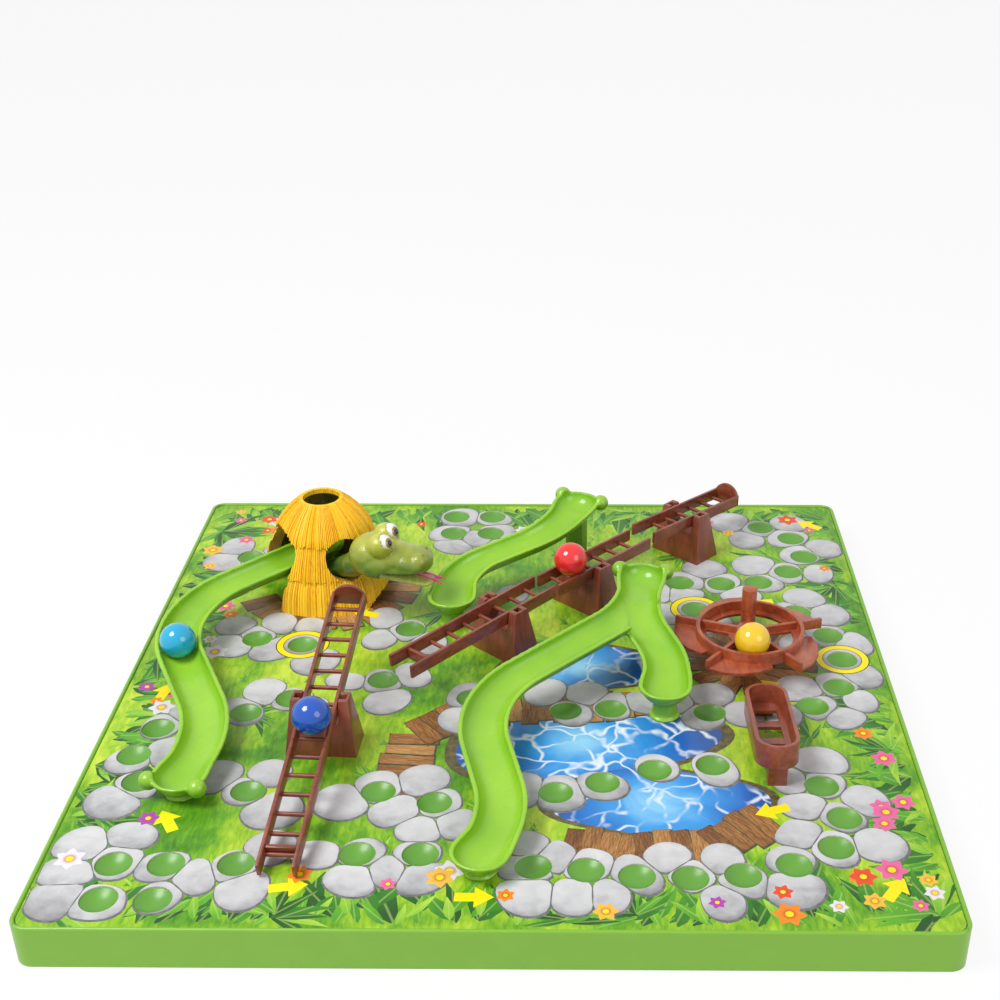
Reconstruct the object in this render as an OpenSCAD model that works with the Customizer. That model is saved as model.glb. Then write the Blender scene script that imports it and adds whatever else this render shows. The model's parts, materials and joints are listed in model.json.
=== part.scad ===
// Three-dimensional snakes and ladders board: a shallow moulded tray with a printed card and dished
// cups, a thatched hut with a snake's head, three open chutes, four see-saw ladders and a hand mill.
// The origin is the middle of the tray's lower edge. X runs to the right, Y away from the player.

/* [Tray] */
// Side of the square tray
tray_w = 400; // [390:1:420]
// Height of the tray's side wall
tray_h = 21; // [19:0.5:26]
// Corner radius of the tray
tray_r = 8; // [5:0.5:14]
// Thickness of the side wall
tray_wall = 2; // [1.5:0.1:3]
// Thickness of the deck
deck_t = 2; // [1.6:0.1:2.6]
// Height of the rim above the printed card
rim_lip = 1; // [0.6:0.1:2]
// Thickness of the printed card
card_t = 0.8; // [0.4:0.1:1.2]
// Gap round the edge of the printed card
card_gap = 0.3; // [0.2:0.05:0.6]
// Height of the stiffening ribs under the deck
rib_h = 8; // [5:0.5:10]
// Thickness of the stiffening ribs
rib_t = 1.6; // [1.2:0.1:2.4]

/* [Balls and cups] */
// Diameter of a playing ball
ball_d = 18.6; // [17.6:0.1:19]
// Width of a cup at the deck
cup_d = 16; // [14:0.1:17]
// Depth of a cup below the deck
cup_depth = 3; // [2:0.1:3.2]
// Wall left round and under a cup
cup_wall = 1.4; // [1:0.1:2]
// Distance between cups in the start and finish squares
square_pitch = 23; // [20:0.5:26]

/* [Pegs] */
// Diameter of the pegs that hold the standing pieces
peg_d = 5; // [4:0.1:6]
// Length of a peg below the card
peg_l = 6; // [4:0.5:8]
// Clearance round a peg
peg_fit = 0.15; // [0.1:0.05:0.3]
// Wall of a peg socket under the deck
socket_wall = 1.8; // [1.2:0.1:2.5]

/* [Ladders] */
// Width of a ladder over its rails
ladder_w = 17.6; // [16.6:0.1:18]
// Thickness of a rail
rail_t = 1.8; // [1.4:0.1:2.4]
// Height of a rail
rail_h = 7; // [6:0.1:7.6]
// Diameter of a rung
rung_d = 2.2; // [1.6:0.1:3]
// Distance between rungs
rung_pitch = 11.5; // [9:0.5:14]
// Height of a ladder's pivot above the card
pivot_h = 24.5; // [23.5:0.5:27]
// Diameter of the stub axles
axle_d = 4; // [3:0.1:4.4]
// Length of an axle outside the rail
axle_out = 3.4; // [2.6:0.1:3.6]
// Radial running clearance of an axle
axle_fit = 0.05; // [0.02:0.01:0.1]
// Side clearance between a ladder and its trestle
ladder_gap = 0.5; // [0.3:0.05:1]
// Front arm of the front ladder
front_arm_a = 102; // [98:1:103]
// Rear arm of the front ladder
front_arm_b = 78; // [60:1:80]
// Lower arm of the first chain ladder
low_arm_a = 73; // [60:1:75]
// Upper arm of the first chain ladder
low_arm_b = 32; // [26:1:32]
// Lower arm of the second chain ladder
mid_arm_a = 32; // [30:1:32]
// Upper arm of the second chain ladder
mid_arm_b = 45; // [40:1:45]
// Lower arm of the third chain ladder
top_arm_a = 40; // [34:1:40]
// Upper arm of the third chain ladder
top_arm_b = 41; // [34:1:44]
// Thickness of the plates across a ladder's end
stop_t = 2; // [1.4:0.1:3]

/* [Trestles] */
// Thickness of a trestle's post beside the ladder
post_t = 4.6; // [4:0.1:6]
// Length of a trestle at its top
trestle_top_l = 9; // [7:0.5:12]
// Length of a trestle at its foot
trestle_foot_l = 20; // [16:0.5:26]
// Spread of a trestle's foot on each side
trestle_spread = 3.5; // [2:0.5:6]
// Height of a post above its axle
post_over = 4; // [3:0.1:5]
// Wall of the hollow trestle
trestle_wall = 1.8; // [1.4:0.1:2.4]
// Depth of the saddle below the axle
saddle_depth = 7.5; // [7:0.1:9]

/* [Chutes] */
// Inner width of a chute at its rim
chute_w = 19.6; // [19.3:0.1:22]
// Depth of a chute below its rim
chute_depth = 8; // [6:0.5:9]
// Wall of a chute
chute_wall = 1.2; // [1:0.1:1.8]
// Inner radius of the round cups at a chute's ends, wider than the chute over its walls
dish_r = 11.3; // [11.2:0.1:12.5]
// Radius of the two eye knobs on a chute's head
knob_r = 4.6; // [3:0.1:6]
// Diameter of a chute's foot
foot_d = 13; // [10:0.5:15]
// Rim height of the left chute's head above the card
left_head_h = 27.7; // [25:0.1:29]
// Rim height of the rear chute's head above the card
rear_head_h = 44; // [36:0.5:48]
// Rim height of the forked chute's head above the card
fork_head_h = 37; // [32:0.5:42]
// Rim height of the left chute's and the long fork's low ends above the card
low_end_h = 11; // [10.5:0.1:14]
// Rim height of the rear chute's and the short fork's low ends above the card
short_end_h = 18; // [14:0.5:22]
// Width of a chute's slab post
slab_w = 11; // [9:0.5:14]
// Thickness of a chute's slab post
slab_t = 6.5; // [6:0.1:9]
// Diameter of the spigot on a post's top
spigot_d = 4; // [3:0.1:5]
// Height of the spigot
spigot_h = 2; // [1.5:0.1:2.4]

/* [Hut] */
// Radius of the hut's foot
hut_r = 40; // [38:0.5:42]
// Height of the hut above the card
hut_h = 56; // [52:0.5:60]
// Diameter of the hole in the roof
roof_hole_d = 20.8; // [20:0.1:22]
// Wall of the hut
hut_wall = 2.4; // [1.8:0.1:3]
// Overhang of each thatch tier
thatch_step = 2.2; // [1:0.1:3]
// Half width of the chute's arch
arch_half_w = 18; // [16:0.5:20]
// Height of the chute's arch above the card
arch_h = 43; // [41:0.5:45]
// Diameter of the snake's hole
neck_hole_d = 23; // [21:0.5:24]

/* [Snake] */
// Radius of the snake's neck
neck_r = 7; // [5:0.1:8]
// Radius of the back of the head
skull_r = 13.4; // [12:0.1:14]
// Length from the back of the head to the snout
head_l = 33.5; // [30:0.5:36]
// Radius of an eye
eye_r = 5.1; // [4:0.1:5.5]
// Clearance round an eye in its socket
eye_fit = 0.15; // [0.1:0.05:0.3]
// Opening angle of the mouth
mouth_angle = 13; // [8:1:16]
// Thickness of the tongue
tongue_t = 1.2; // [0.8:0.1:1.6]

/* [Mill] */
// Inner radius of the wheel's ring
ring_r = 26.6; // [26:0.1:29]
// Wall of the wheel's ring
ring_wall = 2; // [1.4:0.1:2.6]
// Height of the ring's wall
ring_h = 5.5; // [4:0.1:8]
// Thickness of the wheel's floor and sails
sail_t = 1.6; // [1.2:0.1:2.4]
// Radius to the tips of the sails
sail_r = 41; // [36:0.5:42]
// Height of the wheel's underside above the card
wheel_z = 13; // [10:0.5:16]
// Thickness of a spoke
spoke_t = 2; // [1.6:0.1:3]
// Radius of the hub
hub_r = 7; // [6:0.1:8]
// Diameter of the spindle
spindle_d = 6; // [5:0.1:7]
// Radial running clearance of the spindle
spindle_fit = 0.06; // [0.03:0.01:0.1]
// End clearance under the hub
hub_gap = 0.3; // [0.2:0.05:0.5]
// Inner radius of the bay windows
bay_in_r = 11; // [10:0.5:12]
// Outer radius of the bay windows
bay_out_r = 23; // [22:0.5:24]
// Diameter of the handle peg
handle_d = 8; // [6:0.5:9]
// Height of the handle peg above the floor
handle_h = 20; // [14:0.5:24]
// Radius of the base plate
mill_base_r = 15; // [12:0.5:18]
// Thickness of the base plate
mill_base_t = 2.5; // [2:0.1:4]

/* [Trough] */
// Length of the trough
trough_l = 66; // [60:0.5:68]
// Width of the trough
trough_w = 21; // [20.6:0.1:23]
// Depth of the trough outside
trough_h = 12; // [10:0.5:13]
// Wall of the trough
trough_wall = 1.8; // [1.4:0.1:2.2]
// Tilt of the trough, front end up
trough_tilt = 6; // [4:0.5:8]
// Height of the middle of the trough's rim above the card
trough_rim = 18.6; // [17:0.1:21]
// Width of the trough's posts
trough_post_w = 9; // [7.5:0.5:12]
// Thickness of the trough's posts
trough_post_t = 6.6; // [6.5:0.1:8]

/* [Hidden] */
$fn = 48;

// Levels
board_z = tray_h - rim_lip;
deck_z = board_z - card_t;
ball_r = ball_d / 2;
// A little extra so that a cut passes a face cleanly
past = 1;

// The layout was drawn on a tray of this side, and grows with the tray
LAYOUT_W = 400;
lay = tray_w / LAYOUT_W;

// Layout of the cups, in rows as the track runs
START_AT = [-155, -169];
FINISH_AT = [-30, 171];
FRONT_ROW = [[-113, -157], [-61, -150], [-33, -150], [17, -158], [40, -160], [62, -164], [85, -165],
    [108, -163], [131, -156], [151, -144], [158, -123], [151, -99]];
SECOND_ROW = [[101, -83], [73, -87], [48, -97], [26, -105], [-30, -113], [-57, -105], [-118, -105],
    [-171, -98], [-179, -77], [-173, -54]];
THIRD_ROW = [[-132, -40], [-111, -27], [-66, -9], [-18, -26], [30, -37], [53, -35], [103, -38],
    [156, -32], [172, -14], [178, 13], [174, 38], [160, 63], [103, 66]];
BACK_ROW = [[-114, 26], [-140, 32], [-57, 43], [-4, 67], [-162, 127], [96, 97], [120, 96], [142, 98],
    [161, 111], [173, 130], [168, 154], [151, 169]];
function square_cups(c) = [for (i = [-0.5, 0.5], j = [-0.5, 0.5]) lay * c + square_pitch * [i, j]];
TRACK = concat(FRONT_ROW, SECOND_ROW, THIRD_ROW, BACK_ROW);
CUPS = concat(square_cups(START_AT), [for (c = TRACK) lay * c], square_cups(FINISH_AT));

// See-saw ladders: pivot place, heading of the upper arm and tilt at rest
axle_z = board_z + pivot_h;
CHAIN_AT = lay * [-4, 23];
CHAIN_AZ = 47.4;
function on_chain(d) = CHAIN_AT + lay * d * [cos(CHAIN_AZ), sin(CHAIN_AZ)];
FRONT_AT = lay * [-87.5, -67.5];
FRONT_AZ = 86.7;
LOW_AT = on_chain(0);
MID_AT = on_chain(67);
TOP_AT = on_chain(155);
FRONT_TILT = 11.4;
LOW_TILT = 2;
MID_TILT = 0;
TOP_TILT = -3;
rail_in = ladder_w - 2 * rail_t;
end_plate_in = 11;
trestle_w = ladder_w + 2 * (ladder_gap + post_t);
trestle_top_z = axle_z + post_over;
trestle_foot_w = trestle_w + 2 * trestle_spread;

// A ball rolls on the inner edges of the two rails
ball_ride = sqrt(pow(ball_r, 2) - pow(rail_in / 2, 2)) + 0.05;
BLUE_ALONG = -18;
RED_ALONG = -14;

// Hut: place, arches, snake's hole and foot pads
HUT_AT = lay * [-110, 95];
ARCH_DIR = 210;
SIDE_ARCH_R = 48;
SIDE_ARCH_DROP = 38;
NECK_DIR = -58;
NECK_H = 29;
HUT_PADS = [-80, 75, 135];
pad_d = 7;
pad_h = 5;

// Chutes: start of the centre line, first heading, then straights [length, 0] and bends [radius, turn]
function laid(route) = [for (part = route) [lay * part[0], part[1]]];
LEFT_FROM = HUT_AT - [hut_r / 20, 0];
LEFT_HEAD = 221;
LEFT_ROUTE = laid([[56, 0], [60, 75], [40, 0], [70, -40], [10, 0]]);
REAR_FROM = lay * [35, 116];
REAR_HEAD = 243;
REAR_ROUTE = laid([[6, 0], [48, -43], [22, 0], [28, 64], [7, 0]]);
FORK_FROM = lay * [70.5, 40];
FORK_HEAD = 263;
FORK_ROUTE = laid([[12, 0], [45, -43], [57, 0], [52, 65], [28, 0], [55, -42], [4, 0]]);
BRANCH_FROM = lay * [68, 24];
BRANCH_HEAD = 270;
BRANCH_ROUTE = laid([[8, 0], [40, 26], [12, 0], [38, -34], [6, 0]]);
BRANCH_DROP = 2.2;
left_rim = [left_head_h, low_end_h];
rear_rim = [rear_head_h, short_end_h];
fork_rim = [fork_head_h, low_end_h];
branch_rim = [fork_head_h - BRANCH_DROP, short_end_h];
bend_step = 7;
hollow_trim = 2;
dish_drop = 0.4;
section_steps = 12;

// The cyan ball rests in the left chute's first bend, short of the bend's end by this turn
CYAN_BACK = 10;
cyan_gap = 0.25;

// Snake: foot of the stalk, bend of the neck and the head's place, as shares of the hut's radius from its
// middle, with heights above the card, and the head's turn
STALK_AT = HUT_AT + hut_r * [0.2625, -0.475];
NECK_AT = HUT_AT + hut_r * [0.55, -0.825];
NECK_BEND = [NECK_AT[0], NECK_AT[1], 30];
HEAD_MID = HUT_AT + hut_r * [0.825, -0.925];
HEAD_AT = [HEAD_MID[0], HEAD_MID[1], 39.5];
HEAD_TURN = -8;

// Mill
MILL_AT = lay * [127.5, 13.5];
SPOKES = 5;
SPOKE_FROM = 16;
HANDLE_SPOKE = 1;
HANDLE_AT_R = 15;
YELLOW_BAY = 3;
MILL_PEGS = [[-9, 0], [9, 0]];
wheel_floor_z = board_z + wheel_z + sail_t;

// Trough
TROUGH_AT = lay * [130, -66.5];
TROUGH_POSTS = [-29.5, 28.5];
TROUGH_WINDOWS = [-17, 0, 17];
trough_window = [trough_w - 2 * trough_wall - 6, 11];

// Every peg that enters the deck, as [x, y]
function turn2(v, a) = [v[0] * cos(a) - v[1] * sin(a), v[0] * sin(a) + v[1] * cos(a)];
trestle_peg = trestle_foot_w / 2 - peg_d / 2 - 0.6;
function trestle_pegs(at, az) = [for (s = [-1, 1]) at + turn2([0, s * trestle_peg], az)];
function pad_at(a) = HUT_AT + (hut_r - hut_wall - pad_d / 2) * [cos(a), sin(a)];
PEGS = concat(
    [for (a = HUT_PADS) pad_at(a)], [STALK_AT],
    trestle_pegs(FRONT_AT, FRONT_AZ), trestle_pegs(LOW_AT, CHAIN_AZ),
    trestle_pegs(MID_AT, CHAIN_AZ), trestle_pegs(TOP_AT, CHAIN_AZ),
    [LEFT_FROM, REAR_FROM, FORK_FROM],
    [route_end(LEFT_ROUTE, LEFT_FROM, LEFT_HEAD)[0], route_end(REAR_ROUTE, REAR_FROM, REAR_HEAD)[0]],
    [route_end(FORK_ROUTE, FORK_FROM, FORK_HEAD)[0], route_end(BRANCH_ROUTE, BRANCH_FROM, BRANCH_HEAD)[0]],
    [for (p = MILL_PEGS) MILL_AT + p],
    [for (y = TROUGH_POSTS) TROUGH_AT + [0, y]]);

// Route of a chute: a state is [place, heading]
function left_of(h) = [-sin(h), cos(h)];
function part_length(part) = part[1] == 0 ? part[0] : part[0] * abs(part[1]) * PI / 180;
function route_length(route) = sum_of([for (part = route) part_length(part)]);
function sum_of(v, i = 0) = i == len(v) ? 0 : v[i] + sum_of(v, i + 1);
function after(at, h, part) = part[1] == 0
    ? [at + part[0] * [cos(h), sin(h)], h]
    : [at + sign(part[1]) * part[0] * (left_of(h) - left_of(h + part[1])), h + part[1]];
function on_route(route, at, h, d, i = 0) =
    let (part = route[i], l = part_length(part), share = d / l)
    d <= l || i == len(route) - 1
        ? after(at, h, part[1] == 0 ? [d, 0] : [part[0], part[1] * share])
        : let (next = after(at, h, part)) on_route(route, next[0], next[1], d - l, i + 1);
function route_end(route, at, h) = on_route(route, at, h, route_length(route));

// Upright cross-section of a chute, with its rim at zero
function half_ellipse(a, b, skip) =
    [for (i = [skip : section_steps - skip])
        let (t = 180 + 180 * i / section_steps) [a * cos(t), b * sin(t)]];
outer_section = half_ellipse(chute_w / 2 + chute_wall, chute_depth + chute_wall, 0);
// The hollow flares on above the rim, so that its wall crosses the rim cleanly
hollow_flare = 1.15;
inner_section = concat(half_ellipse(chute_w / 2, chute_depth, 1),
    [[hollow_flare * chute_w / 2, ball_r], [-hollow_flare * chute_w / 2, ball_r]]);

// Distances along a route at which the sweep has a section: the ends of straights, and steps in bends
function part_steps(part) = part[1] == 0 ? 1 : ceil(part_length(part) / bend_step);
function start_of(route, i) = i == 0 ? 0 : start_of(route, i - 1) + part_length(route[i - 1]);
function route_marks(route, trim) = let (l = route_length(route))
    concat([trim], [for (i = [0 : len(route) - 1], j = [1 : part_steps(route[i])])
        min(l - trim, start_of(route, i) + part_length(route[i]) * j / part_steps(route[i]))]);

// A closed solid: an upright section swept along a route, less a trim at each end, while its rim falls
module sweep_run(route, at, h, rim, section, trim) {
    marks = route_marks(route, trim);
    l = route_length(route);
    n = len(section);
    last = len(marks) - 1;
    points = [for (d = marks)
        let (state = on_route(route, at, h, d), z = board_z + rim[0] + (rim[1] - rim[0]) * d / l)
            for (p = section)
                let (side = state[0] + p[0] * left_of(state[1])) [side[0], side[1], z + p[1]]];
    walls = [for (i = [0 : last - 1], k = [0 : n - 1])
        let (a = i * n + k, b = i * n + (k + 1) % n) each [[b, a, a + n], [b, a + n, b + n]]];
    back = [[for (k = [0 : n - 1]) k]];
    front = [[for (k = [n - 1 : -1 : 0]) last * n + k]];
    polyhedron(points, concat(back, walls, front));
}

// Round cup at a chute's end, solid or hollow
module dish_form(state, rim, r, depth, over) {
    dish_steps = 8;
    quarter = [for (i = [0 : dish_steps]) let (t = 90 * i / dish_steps) [r * cos(t), -depth * sin(t)]];
    translate([state[0][0], state[0][1], board_z + rim])
        rotate_extrude($fn = 32)
            polygon(concat([[0, over], [r, over]], quarter));
}

dish_depth = chute_depth + dish_drop;
module chute_dish_outer(state, rim) dish_form(state, rim, dish_r + chute_wall, dish_depth + chute_wall, 0);
module chute_dish_inner(state, rim) dish_form(state, rim, dish_r, dish_depth, ball_r);

// Two eye knobs beside a head, at an angle from the heading
module eye_knobs(state, rim, turn) {
    knob_out = dish_r + chute_wall + knob_r / 3;
    for (s = [-1, 1])
        let (a = state[1] + s * turn)
            translate([state[0][0], state[0][1], board_z + rim - knob_r / 3])
                translate([knob_out * cos(a), knob_out * sin(a), 0])
                    sphere(r = knob_r, $fn = 12);
}

// Foot of a chute's low end: a round post down to the card, with its peg
module chute_foot(state, rim) {
    translate([state[0][0], state[0][1], board_z])
        cylinder(d = foot_d, h = rim - chute_depth / 2, $fn = 32);
    peg(state[0]);
}

// Seat under a chute's high end, with a hole for the post's spigot
seat_drop = dish_depth + chute_wall + spigot_h;
module chute_seat(state, rim) {
    translate([state[0][0], state[0][1], board_z + rim - seat_drop])
        cylinder(d = foot_d, h = seat_drop - chute_depth / 2, $fn = 32);
}
module seat_hole(state, rim) {
    translate([state[0][0], state[0][1], board_z + rim - seat_drop - past])
        cylinder(d = spigot_d + 2 * peg_fit, h = spigot_h + peg_fit + past, $fn = 32);
}

module peg(at) {
    translate([at[0], at[1], board_z - peg_l])
        cylinder(d = peg_d, h = peg_l + past / 2);
}

module rounded_square(w, r) {
    difference() {
        square(w, center = true);
        for (i = [-1, 1], j = [-1, 1])
            translate([i * w / 2, j * w / 2])
                difference() {
                    square(2 * r, center = true);
                    translate([-i * r, -j * r]) circle(r);
                }
    }
}

// Side wall of the tray, with a half-round rim, as four straight runs and four corners
module tray_side() {
    run = tray_w - 2 * tray_r;
    module wall_profile() {
        translate([-tray_wall, 0]) square([tray_wall, tray_h - tray_wall / 2]);
        translate([-tray_wall / 2, tray_h - tray_wall / 2]) circle(d = tray_wall);
    }
    for (a = [0 : 90 : 270])
        rotate(a) {
            translate([tray_w / 2, run / 2, 0])
                rotate([90, 0, 0])
                    linear_extrude(run) wall_profile();
            translate([run / 2, run / 2, 0])
                rotate_extrude(angle = 90) translate([tray_r, 0]) wall_profile();
        }
}

module tray() {
    cup_cap_r = (pow(cup_d / 2, 2) + pow(cup_depth, 2)) / (2 * cup_depth);
    inner_w = tray_w - 2 * tray_wall;
    deck_low = deck_z - deck_t;
    socket_low = board_z - peg_l - cup_wall;
    socket_d = peg_d + 2 * (peg_fit + socket_wall);
    color("yellowgreen")
        difference() {
            union() {
                tray_side();
                translate([0, 0, deck_low])
                    linear_extrude(deck_t) rounded_square(inner_w + tray_wall, tray_r - tray_wall / 2);
                for (a = [0, 90])
                    rotate(a)
                        translate([-inner_w / 2, -rib_t / 2, deck_low - rib_h])
                            cube([inner_w, rib_t, rib_h + deck_t / 2]);
                for (c = CUPS)
                    translate([c[0], c[1], deck_z - cup_depth - cup_wall])
                        cylinder(d = cup_d + 2 * cup_wall, h = cup_depth + cup_wall - deck_t / 2);
                for (p = PEGS)
                    translate([p[0], p[1], socket_low])
                        cylinder(d = socket_d, h = deck_z - deck_t / 2 - socket_low);
            }
            for (c = CUPS)
                translate([c[0], c[1], deck_z - cup_depth + cup_cap_r])
                    sphere(cup_cap_r);
            for (p = PEGS)
                translate([p[0], p[1], socket_low - past])
                    cylinder(d = peg_d + 2 * peg_fit, h = tray_h);
        }
}

module printed_sheet() {
    sheet_w = tray_w - 2 * (tray_wall + card_gap);
    color("olivedrab")
        translate([0, 0, deck_z])
            linear_extrude(card_t)
                difference() {
                    rounded_square(sheet_w, tray_r - tray_wall);
                    for (c = CUPS)
                        translate(c) circle(d = cup_d + 2 * card_gap);
                    for (p = PEGS)
                        translate(p) circle(d = peg_d + 2 * peg_fit);
                }
}

module hut_shell() {
    // Outline of the thatch in three tiers, as shares of the hut's own radius and height
    tier1_z = 0.67 * hut_h;
    tier2_z = 0.34 * hut_h;
    tier1_r = 0.665 * hut_r;
    tier2_r = 0.85 * hut_r;
    hole_r = roof_hole_d / 2;
    dome = [[0.4 * hut_r, 0.92 * hut_h], [0.54 * hut_r, 0.79 * hut_h]];
    outer = [[hole_r, hut_h], [hole_r + 2, hut_h], dome[0], dome[1], [tier1_r, tier1_z],
        [tier1_r - thatch_step, tier1_z], [tier2_r, tier2_z], [tier2_r - thatch_step, tier2_z], [hut_r, 0]];
    inner = [[hut_r - hut_wall, 0], [tier2_r - thatch_step - hut_wall, tier2_z],
        [tier1_r - thatch_step - hut_wall, tier1_z], [dome[1][0] - hut_wall, dome[1][1]],
        [dome[0][0] - hut_wall, dome[0][1] - hut_wall / 2], [hole_r, hut_h - hut_wall]];
    color("gold") {
        translate([HUT_AT[0], HUT_AT[1], board_z])
            difference() {
                rotate_extrude($fn = 96) polygon(concat(outer, inner));
                rotate([90, 0, ARCH_DIR + 90])
                    linear_extrude(hut_r + past) {
                        translate([0, arch_h - arch_half_w]) circle(arch_half_w);
                        translate([-arch_half_w, -past])
                            square([2 * arch_half_w, arch_h - arch_half_w + past]);
                    }
                translate([0, 0, -SIDE_ARCH_DROP])
                    rotate([0, 90, 0])
                        cylinder(r = SIDE_ARCH_R, h = hut_r + past, $fn = 144);
                translate([0, 0, NECK_H])
                    rotate([0, 90, NECK_DIR])
                        cylinder(d = neck_hole_d, h = hut_r + past);
            }
        for (a = HUT_PADS) {
            translate([pad_at(a)[0], pad_at(a)[1], board_z])
                cylinder(d = pad_d, h = pad_h);
            peg(pad_at(a));
        }
    }
}

// The head in its own place: X to the snout, origin at the back of the skull
module in_head() {
    translate([HEAD_AT[0], HEAD_AT[1], board_z + HEAD_AT[2]])
        rotate([0, 0, HEAD_TURN])
            children();
}

module ball_at(p, r) {
    translate(p) sphere(r = r, $fn = 20);
}

snout_r = skull_r * 0.56;
snout_y = skull_r * 0.36;
cheek_r = skull_r * 0.72;
brow_r = eye_r + 1.6;
eye_at = [skull_r * 0.55, skull_r * 0.52, skull_r * 0.72];

// Whole head before the mouth is cut
module head_form() {
    for (s = [-1, 1]) {
        hull() {
            ball_at([0, 0, 0], skull_r);
            ball_at([skull_r * 0.35, s * skull_r * 0.5, -skull_r * 0.12], cheek_r);
        }
        hull() {
            ball_at([skull_r * 0.35, s * skull_r * 0.5, -skull_r * 0.12], cheek_r);
            ball_at([head_l - snout_r, s * snout_y, -skull_r * 0.3], snout_r);
        }
        hull() {
            ball_at([eye_at[0] - brow_r / 4, s * eye_at[1], eye_at[2] - brow_r / 10], brow_r);
            ball_at([0, s * eye_at[1] / 2, 0], brow_r);
        }
    }
    hull() {
        ball_at([0, 0, 0], skull_r);
        for (s = [-1, 1]) ball_at([head_l - snout_r, s * snout_y, -skull_r * 0.3], snout_r);
    }
}

// Wedge in front of the mouth's corner and below the upper lip, tilted by an angle
mouth_x = skull_r * 0.25;
mouth_z = -skull_r * 0.42;
module below_lip(angle) {
    reach = 3 * skull_r;
    translate([mouth_x, -reach / 2, mouth_z])
        rotate([0, angle, 0])
            translate([0, 0, -reach])
                cube([head_l + reach, reach, reach]);
}

module snake_head() {
    stalk_r = neck_r - 1.5;
    color("olivedrab") {
        in_head()
            difference() {
                head_form();
                below_lip(0);
                for (s = [-1, 1]) ball_at([eye_at[0], s * eye_at[1], eye_at[2]], eye_r + eye_fit);
            }
        hull() {
            in_head() ball_at([-3, 0, -3], neck_r);
            ball_at([NECK_BEND[0], NECK_BEND[1], board_z + NECK_BEND[2]], neck_r);
        }
        hull() {
            ball_at([NECK_BEND[0], NECK_BEND[1], board_z + NECK_BEND[2]], neck_r);
            ball_at([STALK_AT[0], STALK_AT[1], board_z + NECK_BEND[2] - neck_r], stalk_r);
        }
        translate([STALK_AT[0], STALK_AT[1], board_z])
            cylinder(r = stalk_r, h = NECK_BEND[2] - neck_r);
        peg(STALK_AT);
    }
}

module snake_jaw() {
    color("khaki")
        in_head()
            intersection() {
                head_form();
                difference() {
                    below_lip(0);
                    translate([mouth_x, -skull_r * 2, mouth_z])
                        rotate([0, mouth_angle, 0])
                            cube([head_l * 2, skull_r * 4, skull_r * 2]);
                }
            }
}

module snake_eyes() {
    color("white")
        in_head()
            for (s = [-1, 1])
                translate([eye_at[0], s * eye_at[1], eye_at[2]])
                    sphere(eye_r);
}

// Forked tongue lying on the lower jaw
module snake_tongue() {
    tongue_w = 5;
    tongue_l = head_l - mouth_x + 3;
    fork_l = 5;
    back = 9;
    color("deeppink")
        in_head()
            translate([mouth_x, 0, mouth_z])
                rotate([0, mouth_angle, 0])
                    linear_extrude(tongue_t)
                        polygon([[back, -tongue_w / 2], [tongue_l, -tongue_w / 2],
                            [tongue_l + fork_l, -tongue_w / 2 - 1], [tongue_l + 1, 0],
                            [tongue_l + fork_l, tongue_w / 2 + 1], [tongue_l, tongue_w / 2],
                            [back, tongue_w / 2]]);
}

module slide_left() {
    top = [LEFT_FROM, LEFT_HEAD];
    low = route_end(LEFT_ROUTE, LEFT_FROM, LEFT_HEAD);
    color("yellowgreen")
        difference() {
            union() {
                sweep_run(LEFT_ROUTE, LEFT_FROM, LEFT_HEAD, left_rim, outer_section, 0);
                chute_dish_outer(top, left_head_h);
                chute_dish_outer(low, low_end_h);
                eye_knobs(low, low_end_h, 62);
                chute_seat(top, left_head_h);
                chute_foot(low, low_end_h);
            }
            sweep_run(LEFT_ROUTE, LEFT_FROM, LEFT_HEAD, left_rim, inner_section, hollow_trim);
            chute_dish_inner(top, left_head_h);
            chute_dish_inner(low, low_end_h);
            seat_hole(top, left_head_h);
        }
}

module slide_rear() {
    top = [REAR_FROM, REAR_HEAD];
    low = route_end(REAR_ROUTE, REAR_FROM, REAR_HEAD);
    color("yellowgreen")
        difference() {
            union() {
                sweep_run(REAR_ROUTE, REAR_FROM, REAR_HEAD, rear_rim, outer_section, 0);
                chute_dish_outer(top, rear_head_h);
                chute_dish_outer(low, short_end_h);
                eye_knobs(top, rear_head_h, 118);
                chute_seat(top, rear_head_h);
                chute_foot(low, short_end_h);
            }
            sweep_run(REAR_ROUTE, REAR_FROM, REAR_HEAD, rear_rim, inner_section, hollow_trim);
            chute_dish_inner(top, rear_head_h);
            chute_dish_inner(low, short_end_h);
            seat_hole(top, rear_head_h);
        }
}

module slide_fork() {
    top = [FORK_FROM, FORK_HEAD];
    low = route_end(FORK_ROUTE, FORK_FROM, FORK_HEAD);
    side = route_end(BRANCH_ROUTE, BRANCH_FROM, BRANCH_HEAD);
    color("yellowgreen")
        difference() {
            union() {
                sweep_run(FORK_ROUTE, FORK_FROM, FORK_HEAD, fork_rim, outer_section, 0);
                sweep_run(BRANCH_ROUTE, BRANCH_FROM, BRANCH_HEAD, branch_rim, outer_section, 0);
                chute_dish_outer(top, fork_head_h);
                chute_dish_outer(low, low_end_h);
                chute_dish_outer(side, short_end_h);
                eye_knobs(top, fork_head_h, 118);
                chute_seat(top, fork_head_h);
                chute_foot(low, low_end_h);
                chute_foot(side, short_end_h);
            }
            sweep_run(FORK_ROUTE, FORK_FROM, FORK_HEAD, fork_rim, inner_section, hollow_trim);
            sweep_run(BRANCH_ROUTE, BRANCH_FROM, BRANCH_HEAD, branch_rim, inner_section, hollow_trim);
            chute_dish_inner(top, fork_head_h);
            chute_dish_inner(low, low_end_h);
            chute_dish_inner(side, short_end_h);
            seat_hole(top, fork_head_h);
        }
}

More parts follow.
